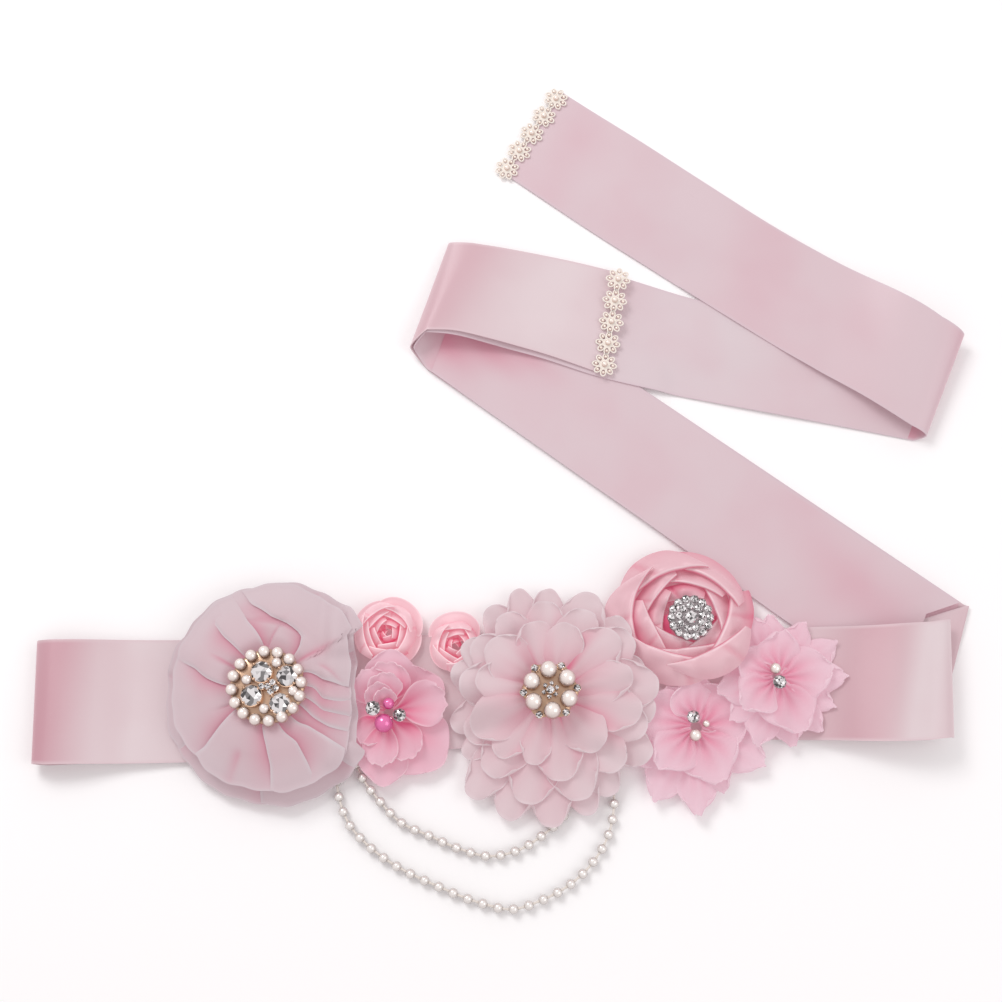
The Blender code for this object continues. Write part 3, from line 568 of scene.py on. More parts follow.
def densify(grid: Array, pitch: float, ring: bool) -> Array:
    """The same surface with points at most a pitch apart, by mixing its rows and then its columns."""
    if ring:
        grid = np.concatenate([grid, grid[:, :1]], axis=1)
    for axis in (0, 1):
        step = np.linalg.norm(np.diff(grid, axis=axis), axis=2).max()
        parts = max(1, int(math.ceil(step / pitch)))
        count = grid.shape[axis]
        places = np.linspace(0, count - 1, (count - 1) * parts + 1)
        low = np.minimum(places.astype(int), count - 2)
        share = places - low
        shape = (-1, 1, 1) if axis == 0 else (1, -1, 1)
        share = share.reshape(shape)
        grid = np.take(grid, low, axis=axis) * (1 - share) + np.take(grid, low + 1, axis=axis) * share
    return grid


def spread(values: Array, reach: int, blend: Callable) -> Array:
    """Blend of each cell with those within a square reach: its largest value or its mean."""
    for axis in (0, 1):
        values = blend([np.roll(values, step, axis) for step in range(-reach, reach + 1)], axis=0)
    return values


class Pile:
    """Height of everything that is already on the table, in cells of 1 mm."""

    LOW = np.array([-262.0, -236.0])
    SHAPE = (540, 506)
    PITCH = 0.7
    ROOM = 0.12

    def __init__(self) -> None:
        """Start with the bare table."""
        self.top = np.zeros(self.SHAPE)

    def _cells(self, points: Array) -> tuple[Array, Array]:
        """Cell numbers under points."""
        cell = np.floor(points[..., :2] - self.LOW).astype(int)
        cell = np.clip(cell, 0, np.array(self.SHAPE) - 1)
        return cell[..., 0].ravel(), cell[..., 1].ravel()

    def add(self, grid: Array, ring: bool = False, above: float = 0.0) -> None:
        """Raise the pile to a surface.

        Args:
            grid: the surface.
            ring: True where its last column joins its first.
            above: height of its top over the grid.
        """
        dense = densify(grid, self.PITCH, ring)
        np.maximum.at(self.top, self._cells(dense), dense[..., 2].ravel() + above)

    def read(self, values: Array, points: Array) -> Array:
        """Value of a cell map at points, mixed between the four nearest cells."""
        place = points[..., :2] - self.LOW - 0.5
        low = np.clip(np.floor(place).astype(int), 0, np.array(self.SHAPE) - 2)
        share = np.clip(place - low, 0.0, 1.0)
        x, y = low[..., 0], low[..., 1]
        u, v = share[..., 0], share[..., 1]
        return ((values[x, y] * (1 - u) + values[x + 1, y] * u) * (1 - v)
                + (values[x, y + 1] * (1 - u) + values[x + 1, y + 1] * u) * v)

    def lift(self, grids: list[Array], clearance: float, reach: int, ease: int,
             ring: bool = False) -> list[Array]:
        """Height that sheets lying together have to gain to clear what lies below them.

        Args:
            grids: the sheets.
            clearance: room kept between a sheet's own surface and what is below.
            reach: cells by which each obstacle is widened.
            ease: cells over which the height is eased.
            ring: True where their last column joins their first.
        Returns:
            The gain at each point of each sheet.
        """
        own = np.full(self.SHAPE, np.inf)
        for grid in grids:
            dense = densify(grid, self.PITCH, ring)
            np.minimum.at(own, self._cells(dense), dense[..., 2].ravel())
        under = np.where(self.top > 0.0, self.top + self.ROOM, 0.0)
        need = np.where(np.isfinite(own), under + clearance - own, 0.0)
        need = spread(np.maximum(need, 0.0), reach + ease, np.max)
        need = spread(spread(need, ease - ease // 2, np.mean), ease // 2, np.mean)
        return [self.read(need, grid) for grid in grids]

    def lay(self, cloths: list[Cloth], reach: int = 2, ease: int = 3) -> None:
        """Lift sheets that lie together clear of the pile, and add them."""
        first = cloths[0]
        grids = [cloth.grid for cloth in cloths]
        gains = self.lift(grids, first.sheet / 2 + self.ROOM, reach, ease, first.ring)
        for cloth, gain in zip(cloths, gains):
            cloth.grid[..., 2] += gain
            self.add(cloth.grid, cloth.ring, cloth.sheet / 2)


# Lines in the plan.

def smooth_share(value: Array) -> Array:
    """Smooth step: 3x^2 - 2x^3 of the value held between 0 and 1."""
    x = np.clip(value, 0.0, 1.0)
    return x * x * (3 - 2 * x)


def even_points(points: Array, fractions: Array) -> Array:
    """Points at the given fractions of a polyline's length."""
    steps = np.linalg.norm(np.diff(points, axis=0), axis=1)
    reached = np.concatenate([[0.0], np.cumsum(steps)])
    wanted = fractions * reached[-1]
    return np.stack([np.interp(wanted, reached, points[:, k]) for k in range(points.shape[1])], axis=1)


def smooth_line(points: list[Point], fractions: Array) -> Array:
    """Points on a smooth curve through the given ones, which may be unevenly spaced.

    Each run between two points is a cubic with slopes taken from its neighbours: the slope at a
    point is the mean of the two directions that meet there, each weighted by the other's length.

    Args:
        points: plan points, in order.
        fractions: wanted places as fractions of the length.
    Returns:
        One row for each fraction.
    """
    given = np.array(points, dtype=float)
    steps = np.diff(given, axis=0)
    sizes = np.linalg.norm(steps, axis=1, keepdims=True)
    directions = steps / sizes
    inner = (directions[:-1] * sizes[1:] + directions[1:] * sizes[:-1]) / (sizes[:-1] + sizes[1:])
    slopes = np.vstack([directions[:1], inner, directions[-1:]])
    t = np.linspace(0.0, 1.0, 16, endpoint=False)[None, :, None]
    a, b = given[:-1, None, :], given[1:, None, :]
    first, last = (slopes[:-1] * sizes)[:, None, :], (slopes[1:] * sizes)[:, None, :]
    curve = (a * (2 * t ** 3 - 3 * t ** 2 + 1) + first * (t ** 3 - 2 * t ** 2 + t)
             + b * (3 * t ** 2 - 2 * t ** 3) + last * (t ** 3 - t ** 2))
    curve = np.vstack([curve.reshape(-1, given.shape[1]), given[-1]])
    return even_points(curve, fractions)


def polar_grid(centre: Point, radius: Array, angle: Array, height: Array) -> Array:
    """Points at a radius and an angle from a centre in the plan, at their heights."""
    return np.stack([centre[0] + radius * np.cos(angle), centre[1] + radius * np.sin(angle), height], axis=2)


@dataclass(frozen=True)
class Crease:
    """Soft trough or ridge in a sheet, between two places given as (run, across) in millimetres.

    The height is depth exp(-(d/width)^2), with d the distance to the line, and fades beyond its ends.
    """

    start: Point
    end: Point
    depth: float
    width: float

    def height(self, run: Array, across: Array) -> Array:
        """Height at each point of a sheet."""
        first, last = np.array(self.start), np.array(self.end)
        step = last - first
        length = np.hypot(*step)
        unit = step / length
        x, y = run - first[0], across - first[1]
        ahead = x * unit[0] + y * unit[1]
        side = y * unit[0] - x * unit[1]
        past = np.maximum(np.maximum(-ahead, ahead - length), 0.0)
        fade = np.exp(-(past / (0.6 * length + self.width)) ** 2)
        return self.depth * np.exp(-(side / self.width) ** 2) * fade


# Ribbon stretches.

@dataclass(frozen=True)
class Fold:
    """Where the ribbon doubles back: the lower cloth's edge, the crest and the upper cloth's edge.

    Each holds its upper and its lower point in the plan, and rise is how far the upper cloth
    stands over the lower at each.
    """

    start: Pair
    crest: Pair
    finish: Pair
    rise: Point

    def rows(self, low: Point, steps: int, inset: float = 0.0, drop: float = 0.0) -> Array:
        """Edge points from the lower cloth round to the upper: two quarter ellipses at each edge.

        At angle t from -90 to 90 degrees a point's plan is C + (E - C)(1 - cos t), with C the crest
        and E the start or the finish, and its height is low + rise (1 + sin t) / 2.

        Args:
            low: height of the lower cloth at each edge.
            steps: number of rows.
            inset: how much nearer the crest is, for a loop inside another.
            drop: how much less it rises.
        Returns:
            An array of steps x 2 edges x 3.
        """
        angle = np.radians(np.linspace(-90.0, 90.0, steps))[:, None, None]
        middle = (np.array(self.start) + np.array(self.finish)) / 2
        bulge = np.array(self.crest) - middle
        crest = middle + bulge * (1 - inset / np.linalg.norm(bulge, axis=1, keepdims=True))
        end = np.where(angle < 0.0, np.array(self.start), np.array(self.finish))
        height = np.array(low)[:, None] + (np.array(self.rise)[:, None] - drop) * (1 + np.sin(angle)) / 2
        return np.concatenate([crest + (end - crest) * (1 - np.cos(angle)), height], axis=2)


LEFT_FOLD = Fold(((-231.0, -76.5), (-230.0, -139.4)), ((-239.3, -76.6), (-237.0, -139.2)),
                 ((-229.0, -76.3), (-229.0, -139.9)), (10.0, 11.0))
PRESSED_FOLD = Fold(((242.2, -56.4), (222.5, -117.6)), ((244.4, -57.2), (224.6, -118.0)),
                    ((242.2, -57.4), (222.5, -118.0)), (1.8, 1.8))
RIGHT_FOLD = Fold(((217.3, -78.3), (213.0, -113.0)), ((231.4, -66.0), (228.0, -126.6)),
                  ((221.0, -68.0), (213.5, -128.6)), (11.0, 15.0))
TURN = Fold(((-20.5, 133.4), (-40.3, 74.2)), ((-29.0, 147.0), (-49.2, 84.4)),
            ((-16.0, 145.8), (-39.9, 92.1)), (7.0, 14.0))
END_FOLD = Fold(((243.0, 84.1), (221.9, 33.7)), ((251.6, 91.0), (227.8, 34.6)),
                ((238.5, 98.8), (219.0, 39.0)), (15.0, 10.0))

FRONT_UPPER = [(-229.0, -76.3), (-181.5, -75.7), (172.7, -68.8), (205.0, -68.6), (221.0, -68.0)]
FRONT_LOWER = [(-229.0, -139.9), (-177.7, -138.6), (169.1, -127.4), (199.6, -128.8), (213.5, -128.6)]
MID_UPPER = [(-16.0, 145.8), (5.0, 142.5), (38.3, 136.8), (64.3, 130.5)]
MID_LOWER = [(-39.9, 92.1), (-27.5, 91.9), (-6.5, 88.2), (21.2, 81.7), (55.4, 70.1)]
UNDER_UPPER = [(-16.0, 145.0), (5.0, 141.7), (38.3, 136.0), (71.4, 126.6), (104.5, 115.9), (153.6, 104.1),
               (197.1, 94.1), (243.0, 84.1)]
UNDER_LOWER = [(-39.9, 91.1), (-27.5, 90.3), (-6.5, 86.3), (21.2, 79.5), (55.5, 68.3), (86.4, 61.0),
               (118.7, 54.3), (183.0, 41.7), (221.9, 33.7)]
TOP_UPPER = [(238.5, 98.8), (232.5, 103.8), (218.0, 114.8), (187.9, 135.1), (155.9, 156.4), (90.3, 203.7),
             (35.6, 242.4)]
TOP_LOWER = [(219.0, 39.0), (210.9, 44.7), (193.6, 57.6), (152.5, 85.2), (88.3, 129.6), (55.3, 152.5),
             (0.6, 192.5)]
DIAGONAL = (-0.809, 0.588)
DIAGONAL_START = ((221.5, -43.5), (213.0, -113.0))
CORNER_SLANT = ((0.0, 24.4), (0.25, 5.0), (0.5, 0.0))
BACK_UPPER = [(205.0, -66.6), (221.0, -63.8), (232.0, -60.4)]
EAST = (1.0, 0.03)


def moved(points: Pair, direction: Point, length: float) -> Pair:
    """Plan points moved along a direction."""
    step = np.array(direction) / np.hypot(*direction) * length
    return tuple(tuple(np.array(point) + step) for point in points)


def tuck_row(row: Array, direction: Point, length: float) -> Array:
    """A further row, moved along the lower cloth away from a fold."""
    step = np.array(direction) / np.hypot(*direction) * length
    return (row + np.array([step[0], step[1], 0.0]))[None]


def flat_rows(upper: list[Point], lower: list[Point], start: Point, end: Point, rest: float,
              ease: float = 38.0, pitch: float = 2.2) -> Array:
    """Edge points of a stretch lying flat, easing down from the loops at its two ends.

    The height of an edge is rest + start exp(-(d/ease)^2) + end exp(-((D-d)/ease)^2), where d is
    the distance run and D the length of the stretch.

    Args:
        upper: plan points of the upper edge.
        lower: plan points of the lower edge.
        start: rise of each edge at the start.
        end: rise of each edge at the end.
        rest: height of the cloth's middle where it lies flat.
        ease: how far a rise reaches.
        pitch: distance between rows.
    Returns:
        An array of rows x 2 edges x 3.
    """
    length = math.dist(upper[0], upper[-1])
    fractions = np.linspace(0.0, 1.0, max(3, round(length / pitch) + 1))
    run = fractions * length
    edges = []
    for side, line in enumerate((upper, lower)):
        plan = smooth_line(line, fractions)
        rise = start[side] * np.exp(-(run / ease) ** 2) + end[side] * np.exp(-((length - run) / ease) ** 2)
        edges.append(np.column_stack([plan, rest + rise]))
    return np.stack(edges, axis=1)


@dataclass(frozen=True)
class PaintedShade:
    """Painted shade round a place along a stretch, and round a line across it where a reach is given; a
    negative amount paints a highlight there instead.
    """

    run: float
    amount: float
    width: float
    line: float = 0.0
    reach: float = math.inf

    def share(self, run: Array, across: Array) -> Array:
        """Amount exp(-(d/width)^2 - (e/reach)^2), with d and e the distances along and across."""
        along = ((run + 0.12 * across - self.run) / self.width) ** 2
        return self.amount * np.exp(-along - ((across - self.line) / self.reach) ** 2)


@dataclass
class Stretch:
    """One stretch of ribbon: rows before the flat part, the flat part, and rows after it."""

    name: str
    before: list[Array]
    flat: Array
    after: list[Array]
    creases: list[Crease]
    held: str
    rests_on: tuple[str, ...] = ()
    columns: int = 33
    wave: float = 0.25
    ease: float = 18.0
    drawn: float = 45.0
    clearance: float = RIBBON_SHEET / 2 + 0.3
    # Bands of painted shade, and of painted highlight where the amount is negative.
    painted_shades: tuple[PaintedShade, ...] = ()
    slant: tuple[Point, ...] = ()
    finish: ClothFinish = TAIL_SATIN

    def build(self, pile: Pile) -> None:
        """Across the width a point is mixed evenly between the two edges. The relief fades out into
        the folds at the ends, over the length called ease.

        Args:
            pile: what is already on the table.
        """
        rows = np.concatenate(self.before + [self.flat] + self.after)
        ahead = sum(len(part) for part in self.before)
        used = slice(ahead, ahead + len(self.flat))
        share = np.linspace(0.0, 1.0, self.columns)
        grid = rows[:, 0:1] * (1 - share[:, None]) + rows[:, 1:2] * share[:, None]
        if self.slant:
            self._draw_out(grid, share)
        steps = np.linalg.norm(np.diff(grid[:, self.columns // 2], axis=0), axis=1)
        run = np.concatenate([[0.0], np.cumsum(steps)])
        width = np.linalg.norm(rows[:, 1] - rows[:, 0], axis=1)
        along = np.repeat(run[:, None], self.columns, axis=1)
        across = (share - 0.5) * width[:, None]
        local = along - run[ahead]
        relief = self._relief(local, across)
        fade = np.ones_like(local)
        if self.before:
            fade = np.minimum(fade, local / self.ease)
        if self.after:
            fade = np.minimum(fade, (run[used.stop - 1] - run[ahead] - local) / self.ease)
        grid[..., 2] += np.maximum(relief, 0.0) * smooth_share(fade)
        grid[used, :, 2] += pile.lift([grid[used]], self.clearance, 6, 6)[0]
        edge = np.minimum(share, 1 - share) * width[:, None]
        # Painted shade in the creases' troughs and in the stretch's bands, lighter where a band's amount is
        # negative; the rim value marks the stitched selvedge.
        painted_shade = np.clip(-relief * 0.18, 0.0, 0.5) + 0.10
        painted_shade = painted_shade + sum(tone.share(local, across) for tone in self.painted_shades)
        rim = 0.8 * np.exp(-(edge / 0.55) ** 2)
        cloth = Cloth(grid, along, across, np.clip(painted_shade, 0, 1), rim, RIBBON_SHEET)
        pile.add(grid, False, RIBBON_SHEET / 2)
        widest = float(width.max()) * MM
        sewn_piece(self.name, "_cloth", [cloth], self.finish, widest)

    def _draw_out(self, grid: Array, share: Array) -> None:
        """Draw the start out against DIAGONAL, by the slant's (share of the width, reach) pairs."""
        reach = np.interp(share, *zip(*self.slant))
        gone = np.linalg.norm(grid[:, 0] - grid[0, 0], axis=1)
        pull = np.clip(1 - gone / self.drawn, 0.0, 1.0)[:, None] * reach
        grid[..., :2] -= pull[..., None] * np.array(DIAGONAL)

    def _relief(self, run: Array, across: Array) -> Array:
        """Sum of the creases and of a slow wave."""
        relief = sum((crease.height(run, across) for crease in self.creases), np.zeros_like(run))
        phase = 2 * math.pi * (run / 83.0 + across / 140.0)
        return relief + self.wave * (1 + np.sin(phase) * np.cos(phase * 0.37 + 1.0))


@dataclass
class Ribbon:
    """The whole ribbon, laid as seven stretches from the lowest up."""

    level: float = RIBBON_WALL / 2
    low: float = 4.3
    loop_steps: int = 30

    def build(self, pile: Pile) -> None:
        """Lay every stretch in order."""
        second = self.level + RIBBON_PITCH
        reach = TUCK + SEAM_GAP
        stretches = (
            self._tail_diagonal(reach),
            self._back(reach),
            self._right_diagonal(second, reach),
            self._front(second),
            self._middle(second, reach),
            self._tail_end(second),
            self._top(),
        )
        for stretch in stretches:
            stretch.build(pile)

    # The bands along each stretch below are painted shade, and painted highlight where an amount is negative.
    def _tail_diagonal(self, reach: float) -> Stretch:
        """Lowest diagonal, from the pressed fold up to the turn."""
        start = moved(PRESSED_FOLD.start, DIAGONAL, reach)
        finish = moved(TURN.start, DIAGONAL, -reach)
        rows = flat_rows([start[0], finish[0]], [start[1], finish[1]], (0, 0), (0, 0), self.level)
        painted_shades = (PaintedShade(0, 0.3, 30), PaintedShade(332, 0.6, 26))
        return Stretch("left_tail_diagonal", [], rows, [], [], "laid", wave=0.0, painted_shades=painted_shades)

    def _back(self, reach: float) -> Stretch:
        """Band behind the front one, ending in the pressed fold."""
        start = moved(LEFT_FOLD.start, EAST, reach)
        pressed = PRESSED_FOLD.rows((self.level, self.level), 12)
        rows = flat_rows([start[0], *BACK_UPPER, PRESSED_FOLD.finish[0]], [start[1], PRESSED_FOLD.finish[1]],
                         (0, 0), PRESSED_FOLD.rise, self.level)
        after = [pressed[::-1], tuck_row(pressed[0], DIAGONAL, TUCK)]
        return Stretch("band_back", [], rows[:-1], after, [], "folded", ("left_tail_diagonal",),
                       wave=0.0, painted_shades=(PaintedShade(468, 0.3, 20),), finish=BAND_SATIN)

    def _right_diagonal(self, second: float, reach: float) -> Stretch:
        """Upper diagonal, lying on the lowest one."""
        start = moved(DIAGONAL_START, DIAGONAL, reach)
        finish = moved(TURN.start, DIAGONAL, -reach)
        rise = self.low - second
        rows = flat_rows([start[0], finish[0]], [start[1], finish[1]], (rise, rise), (0, 0), second, 30.0)
        creases = [
            Crease((30.0, -20.0), (90.0, 18.0), 0.7, 16.0),
            Crease((170.0, 22.0), (230.0, -8.0), 0.6, 18.0),
        ]
        painted_shades = (
            PaintedShade(0, 0.45, 22, 18, 20),
            PaintedShade(34, 0.2, 30, -8, 16),
            PaintedShade(60, 0.08, 22),
            PaintedShade(326, 0.18, 30),
            PaintedShade(304, 0.55, 20, 12, 10),
            PaintedShade(278, 0.5, 22, 0, 9),
            PaintedShade(252, 0.3, 18, -10, 7),
        )
        return Stretch("right_tail_diagonal", [], rows, [], creases, "laid", ("left_tail_diagonal",),
                       painted_shades=painted_shades, slant=CORNER_SLANT)

    def _front(self, second: float) -> Stretch:
        """Front band, with an open loop at each end."""
        left = LEFT_FOLD.rows((self.level, self.level), self.loop_steps)
        right = RIGHT_FOLD.rows((self.low, self.low), self.loop_steps)
        end = tuple(self.low - second + rise for rise in RIGHT_FOLD.rise)
        start = tuple(self.level - second + rise for rise in LEFT_FOLD.rise)
        rows = flat_rows(FRONT_UPPER, FRONT_LOWER, start, end, second)
        before = [tuck_row(left[0], EAST, TUCK), left[:-1]]
        after = [right[::-1][1:], tuck_row(right[0], DIAGONAL, TUCK)]
        creases = [
            Crease((34.0, 34.0), (30.0, -34.0), -0.8, 9.0),
            Crease((395.0, -30.0), (402.0, 30.0), 0.9, 10.0),
        ]
        painted_shades = (
            PaintedShade(-4, 0.62, 20),
            PaintedShade(45, -0.1, 26),
            PaintedShade(418, 0.5, 26),
            PaintedShade(446, -0.3, 11),
            PaintedShade(465, 0.1, 8),
        )
        return Stretch("band_front", before, rows, after, creases, "folded", ("band_back",),
                       painted_shades=painted_shades, finish=BAND_SATIN)

    def _middle(self, second: float, reach: float) -> Stretch:
        """Right tail from inside the turn across to the far end's fold."""
        inner = TURN.rows((second, second), self.loop_steps, 1.4 * RIBBON_PITCH, 2 * RIBBON_PITCH)
        rise = tuple(second - self.level + value - 2 * RIBBON_PITCH for value in TURN.rise)
        rows = flat_rows(UNDER_UPPER, UNDER_LOWER, rise, (0, 0), self.level, 46.0)
        back = rows[-2] - rows[-1]
        back[:, 2] = 0.0
        rows[-1] += back / np.linalg.norm(back, axis=1, keepdims=True) * reach
        rows = np.delete(rows, -2, axis=0)
        before = [tuck_row(inner[0], DIAGONAL, -TUCK), inner[:-1]]
        creases = [
            Crease((120.0, 10.0), (180.0, -14.0), 0.8, 14.0),
            Crease((205.0, 20.0), (250.0, -6.0), 0.9, 12.0),
        ]
        painted_shades = (PaintedShade(-34, 0.35, 16), PaintedShade(140, -0.1, 50), PaintedShade(272, 0.4, 24, -6, 9))
        return Stretch("right_tail_middle", before, rows, [], creases, "folded", ("right_tail_diagonal",),
                       painted_shades=painted_shades)

    def _tail_end(self, second: float) -> Stretch:
        """Left tail's short end, over the turn."""
        outer = TURN.rows((self.level, self.level), self.loop_steps)
        rise = tuple(value - RIBBON_PITCH for value in TURN.rise)
        rows = flat_rows(MID_UPPER, MID_LOWER, rise, (0, 0), second, 46.0, 1.6)
        before = [tuck_row(outer[0], DIAGONAL, -TUCK), outer[:-1]]
        creases = [Crease((22.0, 30.0), (60.0, 18.0), 0.5, 9.0)]
        painted_shades = (PaintedShade(0, 0.38, 20), PaintedShade(55, -0.1, 22))
        return Stretch("left_tail_end", before, rows, [], creases, "folded", ("right_tail_middle",),
                       painted_shades=painted_shades, finish=BAND_SATIN)

    def _top(self) -> Stretch:
        """Right tail's last stretch, from the far end's fold up to the trimmed end."""
        loop = END_FOLD.rows((self.level, self.level), self.loop_steps)
        rows = flat_rows(TOP_UPPER, TOP_LOWER, END_FOLD.rise, (0, 0), self.level, 48.0)
        before = [tuck_row(loop[0], (-1.0, 0.2), TUCK), loop[:-1]]
        creases = [
            Crease((30.0, 16.0), (95.0, -4.0), 0.9, 13.0),
            Crease((120.0, -22.0), (190.0, 6.0), 0.6, 16.0),
        ]
        painted_shades = (PaintedShade(-30, 0.5, 16), PaintedShade(40, 0.06, 30), PaintedShade(105, 0.12, 22), PaintedShade(235, 0.1, 14))
        return Stretch("right_tail_top", before, rows, [], creases, "folded", ("right_tail_middle",),
                       painted_shades=painted_shades)


# Flowers made of separate petals.

@dataclass(frozen=True)
class PetalStyle:
    """Shape that the petals of one tier share, in millimetres and shares of a petal. Shade and gap are
    the amounts of painted shade towards the hub and along the sides, most on the lowest petals.
    """

    hub: float
    rim: float
    curl: float
    step: float
    bulge: float
    level: float = 1.0
    notch: float = 0.30
    point: float = 2.4
    pleats: float = 0.35
    pleat_count: float = 3.0
    ruffle: float = 0.5
    roll: float = 0.3
    jag: float = 0.0
    shade: float = 0.75
    taper: float = 1.0
    roof: float = 0.0
    gap: float = 0.0
    rows: int = 30
    columns: int = 29
    hub_radius: float = 3.0


@dataclass
class PetalTier:
    """One tier of overlapping petals, each given as (degrees, length, level, half spread in degrees, cup).

    The degrees and the length are its tip's. The level says how many others the petal lies over, and
    the cup, which may be left out, is how far its sides are raised.
    """

    name: str
    centre: Point
    petals: list[tuple[float, ...]]
    style: PetalStyle
    finish: ClothFinish
    seed: int

    def build(self, pile: Pile) -> None:
        chance = np.random.default_rng(self.seed)
        sheets = [self.petal(chance, *row) for row in self.petals]
        pile.lay(sheets, 3, 5)
        depth = sum(row[1] for row in self.petals) / len(self.petals) * MM
        sewn_piece(self.name, "_petals", sheets, self.finish, depth)

    def petal(self, chance: Chance, tip: float, length: float, level: float, half: float,
              cup: float = 0.0) -> Cloth:
        """One petal as a sheet.

        With u from 0 at the hub to 1 at the rim and s from -1 to 1 across, the radius is
        r0 + (L (1 - notch |s|^point) - r0) u, and the angle is tip + s times half the spread, which
        narrows to the hub and, by the taper, to the tip. The height is
        rim + (hub - rim)(1-u)^1.5 + curl u^4 + (level + step s/2) m + bulge cos(pi s/2) sin(pi u), with m
        rising from 0 to 1 away from the hub, gathers at the hub, a slow ruffle, a ridge down the
        middle, a cup and a rolled edge.

        Args:
            chance: the tier's own random numbers.
            tip: direction of the tip in degrees.
            length: reach of the tip from the flower's centre.
            level: how far up the petal lies in its tier.
            half: degrees from the tip to each side, where the petal is widest.
            cup: how far the sides are raised.
        Returns:
            The petal.
        """
        style = self.style
        u = (np.linspace(0.0, 1.0, style.rows) ** 0.85)[:, None]
        s = np.sin(np.linspace(-0.5, 0.5, style.columns) * math.pi * 0.96)[None, :] / math.sin(0.48 * math.pi)
        shift, twist, phase, more = chance.uniform(-1.0, 1.0, 4)
        reach = length * (1 - style.notch * np.abs(s + 0.12 * shift) ** style.point + 0.03 * shift * s)
        if style.jag > 0.0:
            reach = reach * (1 - style.jag * np.abs(np.sin(1.6 * math.pi * s + 2.0 * phase)) ** 1.5
                             - 0.25 * style.jag * np.sin(7.0 * math.pi * s + phase))
        radius = style.hub_radius + (reach - style.hub_radius) * u
        away = smooth_share(u / 0.5)
        close = np.sqrt(1 - (np.clip(u - 0.55, 0.0, 1.0) / 0.47) ** 2.4)
        narrow = (0.62 + 0.38 * away) * (1 - style.taper * (1 - close))
        sway = 0.12 * shift * np.sin(math.pi * u) + 0.06 * more * np.sin(3 * math.pi * u + phase)
        angle = np.radians(tip + (s + sway) * half * narrow + 3.0 * twist * u)
        width = math.radians(half) * radius * narrow
        height = (style.rim + (style.hub - style.rim) * (1 - u) ** 1.5 + style.curl * u ** 4
                  + (style.level * level + style.step * s / 2) * away
                  + style.bulge * np.cos(math.pi * s / 2) * np.sin(math.pi * u))
        gather = np.cos(math.pi * style.pleat_count * s + 2.0 * phase)
        height = height + style.pleats * gather * np.sin(math.pi * np.minimum(1.0, u * 1.25)) * (1.15 - u)
        height = height + style.ruffle * np.sin(2 * math.pi * (0.8 * s + more)) * u ** 3
        height = height + style.roll * np.exp(-((1 - u) / 0.05) ** 2) + style.roof * (1 - np.abs(s)) * u
        height = height + cup * (s * s - 0.3) * np.sin(math.pi * u) ** 0.7
        grid = polar_grid(self.centre, radius, angle, height)
        # Painted shade towards the hub, in the gathers and along the sides; a painted highlight along the
        # edge.
        painted_shade = style.shade * (1 - u) ** 1.6 + 0.2 * style.shade * (1 - gather) * (1 - u) * (u > 0.05)
        painted_shade = painted_shade + style.gap / (1 + 2 * level) * smooth_share((np.abs(s) - 0.2) / 0.6) * (1 - u) ** 0.7
        edge = np.minimum((1 - u) * length, (1 - np.abs(s)) * width)
        blank = np.zeros(grid.shape[:2])
        return Cloth(grid, radius + blank, width * s + blank, np.clip(painted_shade, 0, 1) + blank,
                     0.6 * np.exp(-(edge / 0.6) ** 2) + blank)


def spread_out(rows: list[tuple[float, ...]], overlap: float = 1.5) -> list[tuple[float, ...]]:
    """Give each petal its half spread: half the mean gap to its two neighbours, times the overlap."""
    tips = np.array([row[0] for row in rows], dtype=float)
    gaps = (np.roll(tips, -1) - tips) % 360.0
    halves = (gaps + np.roll(gaps, 1)) / 4 * overlap
    return [(*row, float(half)) for row, half in zip(rows, halves)]


# Petals of each tier: direction of the tip in degrees from +X, its distance from the centre, its level.
TULLE_LOW_OUTER = spread_out([
    (3, 31, 0), (40, 31, 1), (85, 28, 0), (125, 26, 1), (162, 32, 0), (183, 41, 2), (205, 40, 1),
    (237, 44, 0), (267, 45, 1), (291, 36, 0), (331, 40, 1),
], 1.7)
TULLE_LOW_INNER = spread_out([(28, 32, 0), (98, 26, 1), (160, 33, 0), (222, 30, 1), (290, 31, 0)])
TULLE_RIGHT_OUTER = spread_out([
    (1, 38, 1), (31, 39, 0), (57, 35, 1), (88, 35, 0), (112, 38, 1), (150, 34, 0),
    (190, 32, 1), (225, 33, 0), (252, 37, 1), (285, 36, 0), (309, 36, 1), (335, 34, 0),
], 1.7)
TULLE_RIGHT_INNER = spread_out([(12, 31, 0), (78, 26, 1), (150, 25, 0), (215, 26, 1), (295, 31, 0)])
PINK_OUTER = spread_out([
    (30, 32, 0), (85, 32, 1), (140, 22, 0), (190, 23, 1), (229, 30, 0), (268, 37, 2), (316, 38, 1),
])
MIDDLE_LOW = spread_out([
    (16, 50, 1), (40, 53, 0), (67, 57, 1), (89, 55, 0), (106, 57, 1), (123, 55, 0), (150, 50, 1),
    (172, 51, 0), (196, 53, 1), (213, 54, 0), (231, 66, 1), (249, 67, 0), (270, 67, 1),
    (287, 64, 0), (305, 60, 1), (326, 60, 0), (350, 54, 1),
], 1.7)
MIDDLE_MID = spread_out([
    (5, 55, 1), (36, 50, 0), (63, 47, 1), (92, 48, 0), (118, 47, 1), (146, 46, 0), (177, 46, 1),
    (206, 48, 0), (232, 52, 1), (259, 57, 0), (285, 56, 1), (313, 52, 0), (340, 52, 1),
], 1.65)
MIDDLE_TOP = spread_out([
    (10, 42, 1), (38, 44, 0), (74, 36, 1), (104, 37, 0), (143, 39, 1), (174, 38, 0),
    (205, 44, 1), (232, 42, 0), (253, 38, 1), (279, 45, 0), (313, 38, 1), (345, 47, 0),
], 1.7)

